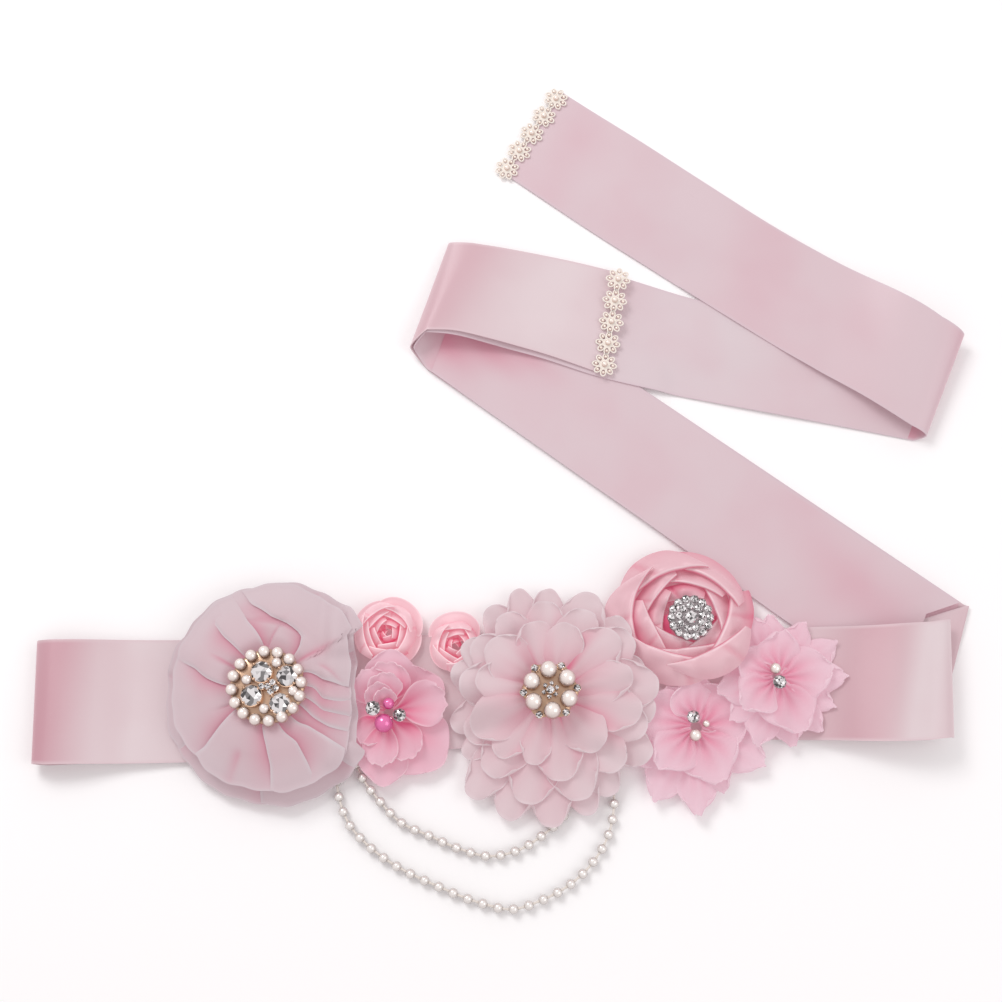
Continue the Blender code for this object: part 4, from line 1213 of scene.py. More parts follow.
# The same with the half spread, and the cup where there is one.
PINK_INNER = [
    (222, 21, 0, 34), (300, 27, 0, 34), (262, 28, 1, 30), (92, 25, 0, 42, 1.5), (124, 24, 1, 38, -1.5),
    (98, 19, 2, 46, 1.5), (126, 15, 3, 44), (100, 11, 4, 50), (14, 31, 2, 34, 3.5),
]


# Flower gathered from one ring of cloth.

@dataclass(frozen=True)
class Pleat:
    """One pleat of a gathered ring.

    It runs from an angle at the hub to another at the rim, between two shares of the way out. The
    cloth drops steeply by depth on one side of the line, and rises slowly again on the other.
    """

    hub: float
    rim: float
    start: float
    end: float
    depth: float
    narrow: float
    wide: float
    hand: float = 1.0


@dataclass(frozen=True)
class LobeEdge:
    """Where one lobe's turned edge lies on the next, as (share of the reach, degrees) from the hub out.

    Hand is 1 where the lobe at the larger angles is on top, and -1 where the other is. Beyond the
    share at which the edge ends the cloth runs on smoothly.
    """

    path: tuple[Point, ...]
    hand: int
    end: float = 1.0

    def angle(self, u: Array) -> Array:
        """Radians at each share, with the path's corners rounded."""
        degrees = np.pad(np.interp(u[:, 0], *zip(*self.path)), 2, "edge")
        return np.radians(np.convolve(degrees, np.full(5, 0.2), "valid"))[:, None]


@dataclass
class GatheredRing:
    """A gathered ring of doubled cloth in lobes, its reach given at even angles from +X."""

    name: str
    centre: Point
    lengths: tuple[float, ...]
    hub: float
    rim: float
    crest: float
    edges: list[LobeEdge]
    pleats: list[Pleat]
    finish: ClothFinish
    step: float = 1.5
    puff: float = 2.4
    rows: int = 64

    def build(self, pile: Pile) -> None:
        after = self.edges[1:] + self.edges[:1]
        cloths = [self._lobe(first, last, k) for k, (first, last) in enumerate(zip(self.edges, after))]
        pile.lay(cloths, 3, 4)
        sewn_piece(self.name, "_ring", cloths, self.finish, max(self.lengths) * MM)

    def _reach(self, theta: Array) -> Array:
        """Distance of the rim at each angle, on a smooth closed curve through the lengths."""
        places = np.arange(len(self.lengths) + 1) * 2 * math.pi / len(self.lengths)
        around = list(zip(places, self.lengths + self.lengths[:1]))
        closed = smooth_line(around, np.linspace(0, 1, 400))
        return np.interp(theta % (2 * math.pi), closed[:, 0], closed[:, 1])

    def _lobe(self, first: LobeEdge, last: LobeEdge, number: int) -> Cloth:
        """One lobe between two edges, tucked on under its neighbour where it isn't the upper one.

        Beyond the hub, which is level out to u = 0.3, the height is
        rim + (hub - rim) cos^2(pi v/2) + crest sin(pi v), less each pleat's trough, with a puff
        between the edges. With d the distance to a pleat's line, a trough is
        depth exp(-(d/narrow)^2) on its steep side and depth exp(-(d/wide)^1.3) on the other.
        Painted shade darkens the hub, a tucked lobe near the edge that lies over it, and each pleat's
        line; a painted highlight runs along each turned edge and the outer edge, and the outer half is
        painted paler, as where light comes through a single sheer layer.

        Args:
            first: the edge at smaller angles.
            last: the edge at larger angles.
            number: the lobe's place in the ring.
        Returns:
            The lobe.
        """
        level, tuck, lap = 0.3, 6.0, 0.4
        u = np.linspace(0.06, 1.0, self.rows)[:, None]
        v = np.clip((u - level) / (1 - level), 0.0, 1.0)
        low = first.angle(u)
        high = last.angle(u) + (2 * math.pi if number == len(self.edges) - 1 else 0.0)
        span = math.degrees(float((high - low).max()))
        s = np.linspace(0.0, 1.0, int(np.clip(span * 1.2, 14, 60)))[None, :]
        mean = np.maximum(u * float(np.mean(self.lengths)), 8.0)
        slopes = [np.hypot(1.0, np.gradient(edge[:, 0], u[:, 0]) * u[:, 0])[:, None] for edge in (low, high)]
        start = low - (lap if first.hand > 0 else tuck) / mean * (0.3 + 0.7 * v)
        stop = high + (lap if last.hand < 0 else tuck) / mean * (0.3 + 0.7 * v)
        theta = start + s * (stop - start)
        ripple = 0.010 * np.sin(9.0 * theta + 1.3) + 0.006 * np.sin(23.0 * theta + 2.0)
        radius = u * self._reach(theta) * (1 - 0.02 * np.abs(2 * s - 1) ** 5 * v + ripple * v ** 3)
        near, far = (theta - low) * radius / slopes[0], (high - theta) * radius / slopes[1]
        away = smooth_share(v / 0.25)
        height = self.rim + (self.hub - self.rim) * np.cos(math.pi * v / 2) ** 2
        height = height + self.crest * np.sin(math.pi * v) + np.zeros_like(theta)
        fades = [1 / (1 + np.exp((u - edge.end) / 0.04)) for edge in (first, last)]
        lift = np.full_like(theta, 0.12)
        valley = 0.0
        lip_highlight = np.zeros_like(theta)
        # Painted shade round the hub.
        painted_shade = 0.4 * np.exp(-((u - level) / 0.13) ** 2) + lip_highlight
        sides = ((first.hand > 0, near, fades[0], 1 - s), (last.hand < 0, far, fades[1], s))
        for on_top, gap, fade, share in sides:
            gap = np.maximum(gap, 0.0) if on_top else np.abs(gap)
            valley = valley + np.exp(-gap / 5.0) * fade * (0.5 if on_top else 1.0)
            if on_top:
                lift = lift + smooth_share(share) * fade
                height = height - 0.8 * np.exp(-(gap / 0.9) ** 2) * away * fade
                lip_highlight = lip_highlight + 0.9 * np.exp(-(gap / 1.1) ** 2) * away * fade
            else:
                shade = 0.85 * np.exp(-(gap / (3.0 + 6.0 * v)) ** 1.2) * (1 - 0.5 * v)
                painted_shade = np.maximum(painted_shade, shade * fade)
        wide = np.minimum(1.0, (high - low) * radius / 22.0)
        puffed = np.clip(1 - valley, 0.0, 1.0) * np.sin(math.pi * np.clip(v, 0.0, 0.93)) ** 0.6
        height = height + (self.step * lift + self.puff * wide * puffed) * away
        for pleat in self.pleats:
            line = math.radians(pleat.hub) + math.radians(pleat.rim - pleat.hub) * v
            side = pleat.hand * ((theta - line + math.pi) % (2 * math.pi) - math.pi) * radius
            window = 1 / (1 + np.exp(-(v - pleat.start) / 0.03)) / (1 + np.exp((v - pleat.end) / 0.07))
            steep = np.exp(-(side / (pleat.narrow * (0.5 + v))) ** 2)
            slow = np.exp(-np.abs(side / (pleat.wide * (0.45 + 0.9 * v))) ** 1.3)
            height = height - pleat.depth * np.where(side > 0.0, slow, steep) * window
            # Painted shade along each pleat's line.
            pleat_shade = np.where(side > 0.0, np.exp(-np.abs(side) / (0.16 * pleat.wide)), steep ** 2)
            painted_shade = np.maximum(painted_shade, 0.8 * pleat_shade * window * (1 - 0.65 * v))
        sway = 0.7 * np.sin(3 * theta + 0.6) + 0.5 * np.sin(5 * theta + 2.0)
        height = height + (sway + 0.25 * np.sin(11 * theta + number)) * v
        grid = polar_grid(self.centre, radius, theta, height)
        # Painted highlight along the turned edges and the outer edge, and the outer half painted paler.
        rim = np.maximum(lip_highlight, 0.5 * np.exp(-((1 - u) * 50 / 0.7) ** 2)) + 0.35 * smooth_share((v - 0.5) / 0.4)
        return Cloth(grid, radius, theta * 40.0, np.clip(painted_shade, 0, 1), np.clip(rim, 0, 1))


# Reach of the left flower's two gathered rings at even angles from +X.
LEFT_OUTER = (43.0, 50.0, 57.0, 56.0, 54.5, 54.0, 53.5, 55.0, 56.0, 58.5, 60.0, 52.0)
LEFT_INNER = (41.5, 46.5, 53.0, 54.0, 52.0, 50.0, 49.0, 49.5, 50.5, 52.0, 54.0, 48.0)

# Edges of the lobes of the two rings.
LEFT_OUTER_EDGES = [LobeEdge(((0.3, 30), (1.0, 24)), 1), LobeEdge(((0.3, 95), (1.0, 100)), -1, 0.6),
                    LobeEdge(((0.3, 150), (1.0, 146)), 1, 0.8), LobeEdge(((0.3, 205), (1.0, 214)), -1),
                    LobeEdge(((0.3, 262), (1.0, 268)), 1), LobeEdge(((0.3, 312), (1.0, 318)), 1)]
LEFT_INNER_EDGES = [
    LobeEdge(((0.3, 24), (0.5, 18.4), (0.68, 6.6), (0.9, 1), (1.0, 0)), 1),
    LobeEdge(((0.3, 47), (0.48, 50.5), (0.6, 57), (0.64, 85), (0.7, 92), (0.83, 103), (1.0, 107)), -1, 0.86),
    LobeEdge(((0.3, 94), (0.4, 97), (0.66, 108.8), (0.85, 112), (1.0, 114)), 1, 0.7),
    LobeEdge(((0.3, 126), (0.37, 128), (0.67, 131.9), (0.86, 130.8), (1.0, 130)), -1, 0.82),
    LobeEdge(((0.3, 182), (0.43, 179), (0.64, 171.5), (0.78, 165.3), (0.94, 163.2), (1.0, 162)), -1, 0.9),
    LobeEdge(((0.3, 217), (0.47, 220.4), (0.71, 223.5), (0.87, 225), (1.0, 223.5)), 1, 0.97),
    LobeEdge(((0.3, 266), (0.39, 267.2), (0.57, 272.5), (0.76, 275.2), (0.93, 274.6), (1.0, 274)), 1, 0.95),
    LobeEdge(((0.3, 288), (0.45, 292), (0.59, 299.7), (0.83, 299.2), (1.0, 298)), -1, 0.9),
    LobeEdge(((0.3, 309), (0.46, 312), (0.55, 317), (0.73, 320), (1.0, 322)), -1),
    LobeEdge(((0.3, 334), (0.58, 327), (0.78, 328), (1.0, 332)), 1),
    LobeEdge(((0.3, 347), (0.5, 343), (0.67, 337.5), (0.98, 341)), 1),
    LobeEdge(((0.3, 363), (0.57, 358.5), (0.66, 348), (0.8, 348), (0.98, 350)), 1)]

# Pleats of the two rings: angle at the hub and at the rim, start, end, depth, steep side, slow side, hand.
LEFT_OUTER_PLEATS = [Pleat(60, 66, 0.2, 1.1, 1.3, 1.2, 10), Pleat(178, 172, 0.2, 1.1, 1.2, 1.2, 12)]
LEFT_INNER_PLEATS = [Pleat(92.4, 62.4, 0.0, 0.42, 2.0, 1.0, 9), Pleat(45, -4, 0.5, 0.95, 1.8, 1.2, 7),
                     Pleat(40, 30, 0.1, 0.7, 1.2, 3.0, 8), Pleat(210, 200, 0.0, 0.3, 1.2, 1.2, 6),
                     Pleat(150, 150, 0.0, 0.45, 1.0, 3.0, 6, -1), Pleat(250, 250, 0.55, 1.1, 0.9, 4.0, 9)]


# Wound roses.

@dataclass(frozen=True)
class WoundRose:
    """A strip of satin wound round and folded over at each corner, so that it shows straight rolled edges.

    Each facet is the run of strip between two corners. Its inner edge is a chord of the spiral, and
    the cloth falls away outwards from it, under the next turn's edge.
    """

    name: str
    centre: Point
    inner: float
    outer: float
    facets: int
    turn: float
    start: float
    width: Point
    high: float
    low: float
    drop: Point
    squash: float
    tilt: float
    seed: int
    drift: Point = (0.0, 0.0)
    # Strength of the painted highlight along each rolled edge.
    gleam: float = 0.6
    petals: tuple[tuple[float, ...], ...] = ()
    wild: float = 0.25
    finish: ClothFinish = ROSE_SATIN
    rows: int = 26
    columns: int = 30

    def build(self, pile: Pile) -> None:
        chance = np.random.default_rng(self.seed)
        sheets = self._outer_petals(chance)
        if sheets:
            pile.lay(sheets, 3, 4)
        for k in range(self.facets):
            facet = self._facet(k / (self.facets - 1), math.radians(self.start + self.turn * k), chance)
            pile.lay([facet], 1, 2)
            sheets.append(facet)
        width = max(NARROWEST_STRIP, self.width[1]) * MM
        sewn_piece(self.name, "_strip", sheets, self.finish, width)

    def _outer_petals(self, chance: Chance) -> list[Cloth]:
        """Wide round petals behind the wound strip, each given as (degrees, length, level, half spread)."""
        style = PetalStyle(self.low - 1.0, self.low - 3.0, 1.0, 1.0, 1.5, notch=0.22, point=3.0, shade=0.6,
                           taper=0.0, pleats=0.35 + 0.4 * self.wild, gap=0.3)
        tier = PetalTier(self.name, self.centre, [], style, ROSE_SATIN, self.seed)
        return [tier.petal(chance, *row) for row in self.petals]

    def _facet(self, t: float, angle: float, chance: Chance) -> Cloth:
        """One facet as a sheet.

        With v from 0 at the rolled inner edge to 1 at the outer edge and s from -1 to 1 along it, a
        point is at distance d + w v - sag s^2 from the centre along the facet's direction and at
        l s (1 + 0.35 v) beside it. The height falls from the inner edge as drop v^1.4, dips at the
        corners, tilts from one corner to the other and rolls over within the first tenth. Painted shade
        deepens towards the outer edge that goes under the next turn, at the corners, just under the
        rolled edge, along the crease and near the centre, and a painted highlight runs along the rolled edge.

        Args:
            t: place along the strip, from 0 in the middle to 1 outside.
            angle: direction of the facet from the centre in radians.
            chance: the rose's own random numbers.
        Returns:
            The facet.
        """
        shift, bend, lean, phase = chance.uniform(-1.0, 1.0, 4)
        angle = angle + self.wild * 0.16 * phase
        distance = (self.inner + (self.outer - self.inner) * t ** 0.9) * (1 + 0.05 * self.wild * bend)
        width = (self.width[0] + (self.width[1] - self.width[0]) * t) * (1 + 0.16 * self.wild * lean)
        half = distance * math.tan(math.radians(self.turn) / 2) * 1.15 + 0.28 * width
        last = smooth_share(np.array((t - 0.62) / 0.3))
        v = (np.linspace(0.0, 1.0, self.rows) ** 1.3)[:, None]
        s = np.linspace(-1.0, 1.0, self.columns)[None, :]
        sag = 0.10 * half * (1.0 + 0.5 * bend)
        out = distance + width * v * (1 - (0.25 + 0.6 * last) * np.abs(s) ** 2.5)
        out = out - sag * s * s * (1 + 1.2 * last)
        side = half * s * (1 + (0.32 - 0.3 * last) * v) + 0.12 * width * v * (1.0 + lean)
        drop = self.drop[0] + (self.drop[1] - self.drop[0]) * t
        height = self.high + (self.low - self.high) * t - drop * v ** 1.4
        height = height + 0.10 * width * np.sin(math.pi * v ** 0.8) * (1 - 0.4 * s * s)
        height = height - 0.22 * drop * np.abs(s) ** 3
        height = height + self.tilt * (1 + self.wild * shift) * s * (1 - 0.5 * v)
        height = height - 0.10 * width * np.exp(-(v / 0.04) ** 2)
        crease = np.exp(-((side - half * (0.5 + 0.3 * shift) - 0.5 * width * v) / (0.12 * width)) ** 2)
        height = height - (0.05 + 0.05 * self.wild) * width * crease * np.sin(math.pi * v)
        forward, beside = math.cos(angle), math.sin(angle)
        x = self.centre[0] + self.drift[0] * t + out * forward - side * beside
        y = self.centre[1] + self.drift[1] * t + self.squash * (out * beside + side * forward)
        grid = np.stack([x, y, height], axis=2)
        blank = np.zeros(grid.shape[:2])
        # Painted shade under the next turn, at the corners, under the roll, in the crease and at the centre.
        under = 0.85 * v ** 2.2 * (1 - last) + 0.25 * np.abs(s) ** 6 * (1 - last)
        painted_shade = np.maximum(under, 0.9 * np.exp(-(v / 0.05) ** 2)) + 0.28 * crease
        painted_shade = painted_shade + 0.6 * max(0.0, 1 - t / 0.3)
        # Painted highlight along the rolled edge.
        rim = self.gleam * np.exp(-((v - 0.075) / 0.035) ** 2)
        return Cloth(grid, side + blank, width * v + blank, np.clip(painted_shade + blank, 0, 1), rim + blank)


@dataclass
class Flowers:
    """Every cloth flower, laid from the lowest to the highest."""

    def build(self, pile: Pile) -> None:
        """Lay all the flowers."""
        groups = (self._rosettes(), self._net(), self._rose(), self._pink(), self._left(), self._middle())
        for group in groups:
            for flower in group:
                flower.build(pile)

    def _rosettes(self) -> list[WoundRose]:
        """Two small roses rolled from narrow satin."""
        left = ((60, 20, 1, 62), (140, 19, 0, 60), (235, 15, 0, 70), (330, 18, 0, 60))
        right = ((95, 18.5, 1, 66), (200, 14, 0, 66), (300, 14, 0, 66))
        return [
            WoundRose("rosette_left", (-58.5, -73.0), 0.5, 11.5, 17, 70.0, 150.0, (2.6, 5.2), 9.0, 7.5,
                      (2.4, 2.8), 1.0, 0.4, 31, gleam=0.9, finish=ROSETTE_SATIN, petals=left),
            WoundRose("rosette_right", (-23.0, -79.5), 0.5, 9.8, 15, 70.0, 40.0, (2.4, 4.8), 9.0, 7.5,
                      (2.4, 2.8), 1.0, 0.4, 32, gleam=0.9, finish=ROSETTE_SATIN, petals=right),
        ]

    def _net(self) -> list[PetalTier]:
        """Two net flowers of two tiers each."""
        low = PetalStyle(6.0, 3.0, 1.5, 0.6, 1.0, pleats=0.7, pleat_count=4.0, ruffle=0.8, jag=0.03,
                         point=1.4, notch=0.16, roof=1.4, columns=37, shade=0.55)
        high = PetalStyle(8.0, 5.0, 3.0, 0.6, 1.2, pleats=0.9, pleat_count=4.0, ruffle=1.6, jag=0.04,
                          point=1.3, notch=0.2, roof=3.0, columns=37, shade=0.72)
        lower, right = (99.0, -121.0), (140.0, -96.5)
        return [
            PetalTier("tulle_low_outer", lower, TULLE_LOW_OUTER, low, PINK_NET, 3),
            PetalTier("tulle_low_inner", lower, TULLE_LOW_INNER, high, PINK_NET, 4),
            PetalTier("tulle_right_outer", right, TULLE_RIGHT_OUTER, low, PINK_NET, 5),
            PetalTier("tulle_right_inner", right, TULLE_RIGHT_INNER, high, PINK_NET, 6),
        ]

    def _rose(self) -> list[WoundRose]:
        """Large satin rose with round petals behind its wound strip."""
        petals = ((18, 33, 1, 38), (66, 34, 0, 36), (104, 36, 2, 32), (140, 34, 0, 36), (182, 34, 1, 38),
                  (228, 32, 0, 40), (272, 31, 1, 40), (318, 32, 0, 40))
        return [WoundRose("satin_rose", (95.5, -65.5), 4.0, 26.5, 19, 66.0, 200.0, (9.0, 13.0), 13.0, 9.0,
                          (5.5, 5.0), 0.94, 1.2, 33, drift=(-2.0, 2.0), wild=1.6, petals=petals)]

    def _pink(self) -> list[PetalTier]:
        """Small pink flower of two tiers."""
        low = PetalStyle(6.0, 4.0, 1.5, 0.8, 1.5, notch=0.12, point=1.5, taper=0.9, ruffle=0.9)
        high = PetalStyle(8.0, 6.5, 3.0, 0.4, 1.0, level=1.3, notch=0.12, point=2.2, roll=0.6, taper=0.6,
                          ruffle=1.6, jag=0.04, shade=0.9, gap=0.8)
        return [
            PetalTier("pink_flower_outer", (-57.0, -114.0), PINK_OUTER, low, PINK_CHIFFON, 7),
            PetalTier("pink_flower_inner", (-57.5, -113.5), PINK_INNER, high, PINK_CHIFFON, 8),
        ]

    def _left(self) -> list[GatheredRing]:
        """Left flower of two gathered rings."""
        centre = (-118.0, -101.6)
        return [
            GatheredRing("left_flower_outer", centre, LEFT_OUTER, 5.0, 5.0, 2.0, LEFT_OUTER_EDGES,
                         LEFT_OUTER_PLEATS, GREY_CHIFFON, 1.0, 1.4),
            GatheredRing("left_flower_inner", centre, LEFT_INNER, 20.0, 13.0, 1.0, LEFT_INNER_EDGES,
                         LEFT_INNER_PLEATS, GREY_CHIFFON),
        ]

    def _middle(self) -> list[PetalTier]:
        """Middle flower of three tiers."""
        centre = (24.9, -103.8)
        low = PetalStyle(7.0, 4.0, 1.5, 0.8, 1.6, notch=0.15, point=2.6, taper=0.7, ruffle=1.1,
                         shade=0.4, gap=0.6, rows=26, columns=25)
        mid = replace(low, hub=9.0, rim=6.0, curl=2.4, bulge=1.8, ruffle=1.3, shade=0.45, gap=0.9)
        top = replace(low, hub=11.0, rim=8.0, curl=3.2, step=0.6, bulge=2.2, ruffle=1.4,
                      shade=0.38, gap=1.0, rows=28, columns=27, hub_radius=6.0)
        return [
            PetalTier("middle_flower_low", centre, MIDDLE_LOW, low, PALE_CHIFFON, 9),
            PetalTier("middle_flower_mid", centre, MIDDLE_MID, mid, PALE_CHIFFON, 10),
            PetalTier("middle_flower_top", centre, MIDDLE_TOP, top, PALE_CHIFFON, 11),
        ]


# Jewels.

@dataclass
class Pieces:
    """Points and faces of several small solids of one finish."""

    points: list = field(default_factory=list)
    faces: list = field(default_factory=list)
    values: list = field(default_factory=list)
    count: int = 0

    def add(self, points: Array, faces: list, value: Array | None = None) -> None:
        """Add one solid."""
        self.points.append(points)
        self.faces += [[int(k) + self.count for k in face] for face in faces]
        self.values.append(np.zeros(len(faces)) if value is None else value)
        self.count += len(points)

    def make(self, name: str, finish: Finish, smooth: bool = True) -> bpy.types.Object:
        """Make them one object."""
        made = new_piece(name, np.vstack(self.points), self.faces, finish, smooth)
        if isinstance(finish, CutStoneFinish):
            layer = made.data.attributes.new("facet", "FLOAT", "FACE")
            layer.data.foreach_set("value", np.concatenate(self.values).astype(np.float32))
        elif finish.side is not None:
            layer = made.data.attributes.new("side", "FLOAT", "POINT")
            # Painted shade: 0 at each pearl's top, 1 from its middle down.
            sides = [np.clip(1.02 - (ball[:, 2] - ball[:, 2].mean()) / np.ptp(ball[:, 2]) * 2, 0, 1) ** 1.1
                     for ball in self.points]
            layer.data.foreach_set("value", np.concatenate(sides).astype(np.float32))
        return made


def turned(profile: list[Point], centre: Spot, segments: int, turn: float = 0.0,
           wave: float = 0.0, waves: int = 0) -> tuple[Array, list]:
    """Solid turned about the vertical, from (radius, height) pairs, bottom first.

    At angle a the radius is the profile's times 1 + wave cos(waves a).

    Args:
        profile: radius and height of each ring; a radius of 0 closes the end.
        centre: plan place and height that the profile's heights are counted from.
        segments: points on each ring.
        turn: angle of the first point in radians.
        wave: how much the radius varies.
        waves: how many times it does so.
    Returns:
        Points and faces.
    """
    angle = turn + 2 * math.pi * np.arange(segments) / segments
    rings = [(radius, height) for radius, height in profile if radius > 0.0]
    radii = np.array([radius for radius, _ in rings])[:, None] * (1 + wave * np.cos(waves * angle))[None, :]
    heights = np.array([height for _, height in rings])[:, None] + 0 * radii
    points = np.stack([radii * np.cos(angle), radii * np.sin(angle), heights], axis=2).reshape(-1, 3)
    faces = grid_quads(len(rings), segments, True).tolist()
    around = np.arange(segments)
    following = (around + 1) % segments
    top = (len(rings) - 1) * segments
    if profile[0][0] == 0.0:
        points = np.vstack([points, [0.0, 0.0, profile[0][1]]])
        tip = np.full(segments, len(points) - 1)
        faces += np.stack([tip, around, following], axis=1).tolist()
    else:
        faces.append(around.tolist())
    if profile[-1][0] == 0.0:
        points = np.vstack([points, [0.0, 0.0, profile[-1][1]]])
        tip = np.full(segments, len(points) - 1)
        faces += np.stack([tip, top + following, top + around], axis=1).tolist()
    else:
        faces.append((top + around[::-1]).tolist())
    return points + np.array(centre), faces


def pearl(radius: float, centre: Spot, segments: int = PEARL_SEGMENTS) -> tuple[Array, list]:
    """Ball of rings at even latitudes, from pole to pole."""
    latitude = np.linspace(-math.pi / 2, math.pi / 2, segments // 2 + 1)
    profile = [(radius * math.cos(a), radius * math.sin(a)) for a in latitude]
    profile[0] = (0.0, -radius)
    profile[-1] = (0.0, radius)
    return turned(profile, centre, segments)


def corners(radius: float, angles: Array, height: float) -> Array:
    """Points on a level circle at the given angles."""
    return np.stack([radius * np.cos(angles), radius * np.sin(angles), np.full(len(angles), height)], axis=1)


def cut_stone(radius: float, depth: float, centre: Spot, chance: Chance,
              sides: int = 8) -> tuple[Array, list, Array]:
    """Round cut stone: a girdle of twice as many corners as the table, two rows of facets and a flat table.

    Args:
        radius: radius of the girdle.
        depth: height from the girdle to the table.
        centre: middle of the girdle.
        chance: random numbers for the facets' painted reflections.
        sides: corners of the table.
    Returns:
        Points, faces, and the painted reflection of each face, from dark to glinting.
    """
    wide = 2 * math.pi * np.arange(2 * sides) / (2 * sides)
    narrow = 2 * math.pi * (np.arange(sides) + 0.5) / sides
    girdle = corners(radius, wide, 0.0)
    bottom = corners(0.8 * radius, wide, -0.6 * depth)
    crown = corners(0.78 * radius, narrow, 0.62 * depth)
    table = corners(0.5 * radius, narrow - math.pi / sides, depth)
    points = np.vstack([girdle, crown, table, bottom, [[0.0, 0.0, depth]]])
    g, c, t, b, tip = 0, 2 * sides, 3 * sides, 4 * sides, 6 * sides
    faces = []
    for k in range(sides):
        n = (k + 1) % sides
        left, middle, right = 2 * k, 2 * k + 1, (2 * k + 2) % (2 * sides)
        faces += [[g + left, g + middle, c + k], [g + middle, g + right, c + k]]
        faces += [[g + right, c + n, t + n, c + k]]
        faces += [[c + k, t + n, t + k], [t + k, t + n, tip]]
    for k in range(2 * sides):
        n = (k + 1) % (2 * sides)
        faces.append([g + n, g + k, b + k, b + n])
    faces.append([b + k for k in range(2 * sides)])
    bright = chance.choice(PAINTED_FACET_GLINTS, len(faces))
    return points + np.array(centre), faces, bright


def brooch_height(pile: Pile, centre: Point, radius: float, gap: float = 0.15) -> float:
    """Height at which a disc of that radius comes to rest on the pile."""
    x = np.arange(pile.SHAPE[0])[:, None] + pile.LOW[0] + 0.5 - centre[0]
    y = np.arange(pile.SHAPE[1])[None, :] + pile.LOW[1] + 0.5 - centre[1]
    return float(pile.top[x * x + y * y <= (radius + 0.7) ** 2].max()) + gap


@dataclass
class Mount:
    """A jewel while it is being made: its centre on the cloth, its metal, its pearls and its stones."""

    centre: Spot
    chance: Chance
    metal: Pieces = field(default_factory=Pieces)
    pearls: Pieces = field(default_factory=Pieces)
    stones: Pieces = field(default_factory=Pieces)

    def plate(self, profile: list[Point], segments: int, turn: float, wave: float, waves: int) -> None:
        """Add the metal plate that carries the rest."""
        self.metal.add(*turned(profile, self.centre, segments, turn, wave, waves))

    def cupped_pearl(self, radius: float, offset: Point, height: float, cup: list[Point], sides: int,
                     segments: int = PEARL_SEGMENTS) -> None:
        """Add one pearl and its metal cup.

        Args:
            radius: the pearl's radius.
            offset: place from the jewel's centre.
            height: height of the pearl's middle.
            cup: profile of the cup.
            sides: points round the cup.
            segments: points round the pearl.
        """
        x, y, z = self._place(offset)
        self.pearls.add(*pearl(radius, (x, y, z + height), segments))
        self.metal.add(*turned(cup, (x, y, z), sides))

    def claw_stone(self, radius: float, offset: Point, rise: float) -> None:
        """Add one stone in its cup, held by four claws.

        Args:
            radius: the stone's radius.
            offset: place from the jewel's centre.
            rise: height of the cup's rim.
        """
        x, y, z = self._place(offset)
        cup = [(radius * 0.85, 0.3), (radius * 1.02, rise - 0.5), (radius * 1.06, rise + 0.1),
               (radius * 0.9, rise), (0.0, rise - 0.4)]
        self.metal.add(*turned(cup, (x, y, z), 20))
        self.stones.add(*cut_stone(radius * 0.98, radius * 0.34, (x, y, z + rise + 0.1), self.chance))
        for dx, dy in circle(radius, np.arange(4) * 90.0 + 45.0):
            self.metal.add(*pearl(0.16 * radius, (x + dx, y + dy, z + rise + 0.35), 8))

    def make(self, node: str, finish: HardFinish, metal: str = "_setting", stones: str = "_stones") -> None:
        """Make the jewel's objects, the metal standing for the node.

        Args:
            node: the node that the metal replaces.
            finish: the metal's look.
            metal: what the metal's name adds to the node's.
            stones: what the stones' name adds to it.
        """
        base = self.metal.make(node + metal, finish)
        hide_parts(node)
        if self.pearls.count:
            self.pearls.make(node + "_pearls", IVORY_PEARL)
        self.stones.make(node + stones, CUT_STONE, False)
        LOG.info("%s: %d facets", node, len(self.stones.faces))

    def _place(self, offset: Point) -> Spot:
        """Place on the cloth at an offset from the centre."""
        return self.centre[0] + offset[0], self.centre[1] + offset[1], self.centre[2]


def circle(radius: float, degrees: Array) -> list[Point]:
    """Offsets on a circle at the given angles."""
    return [(radius * math.cos(a), radius * math.sin(a)) for a in np.radians(degrees)]


# Loose pearls as (node, x, y, radius, finish) and loose stones as (node, x, y, radius).
LOOSE_PEARLS = (
    ("pink_pearl_large", -58.9, -119.9, 4.8, HOT_PINK_PEARL),
    ("pink_pearl_small", -56.6, -110.2, 3.0, HOT_PINK_PEARL),
    ("tulle_pearl_small", 103.6, -119.7, 1.9, IVORY_PEARL),
    ("tulle_pearl_large", 97.8, -125.6, 3.1, IVORY_PEARL),
    ("tulle_pearl_right", 138.2, -93.0, 2.8, IVORY_PEARL),
)
LOOSE_STONES = (
    ("pink_stone_left", -64.2, -112.8, 3.7),
    ("pink_stone_right", -51.2, -115.6, 3.3),
    ("tulle_stone_low", 97.0, -116.4, 3.2),
    ("tulle_stone_right", 139.9, -99.9, 3.4),
)


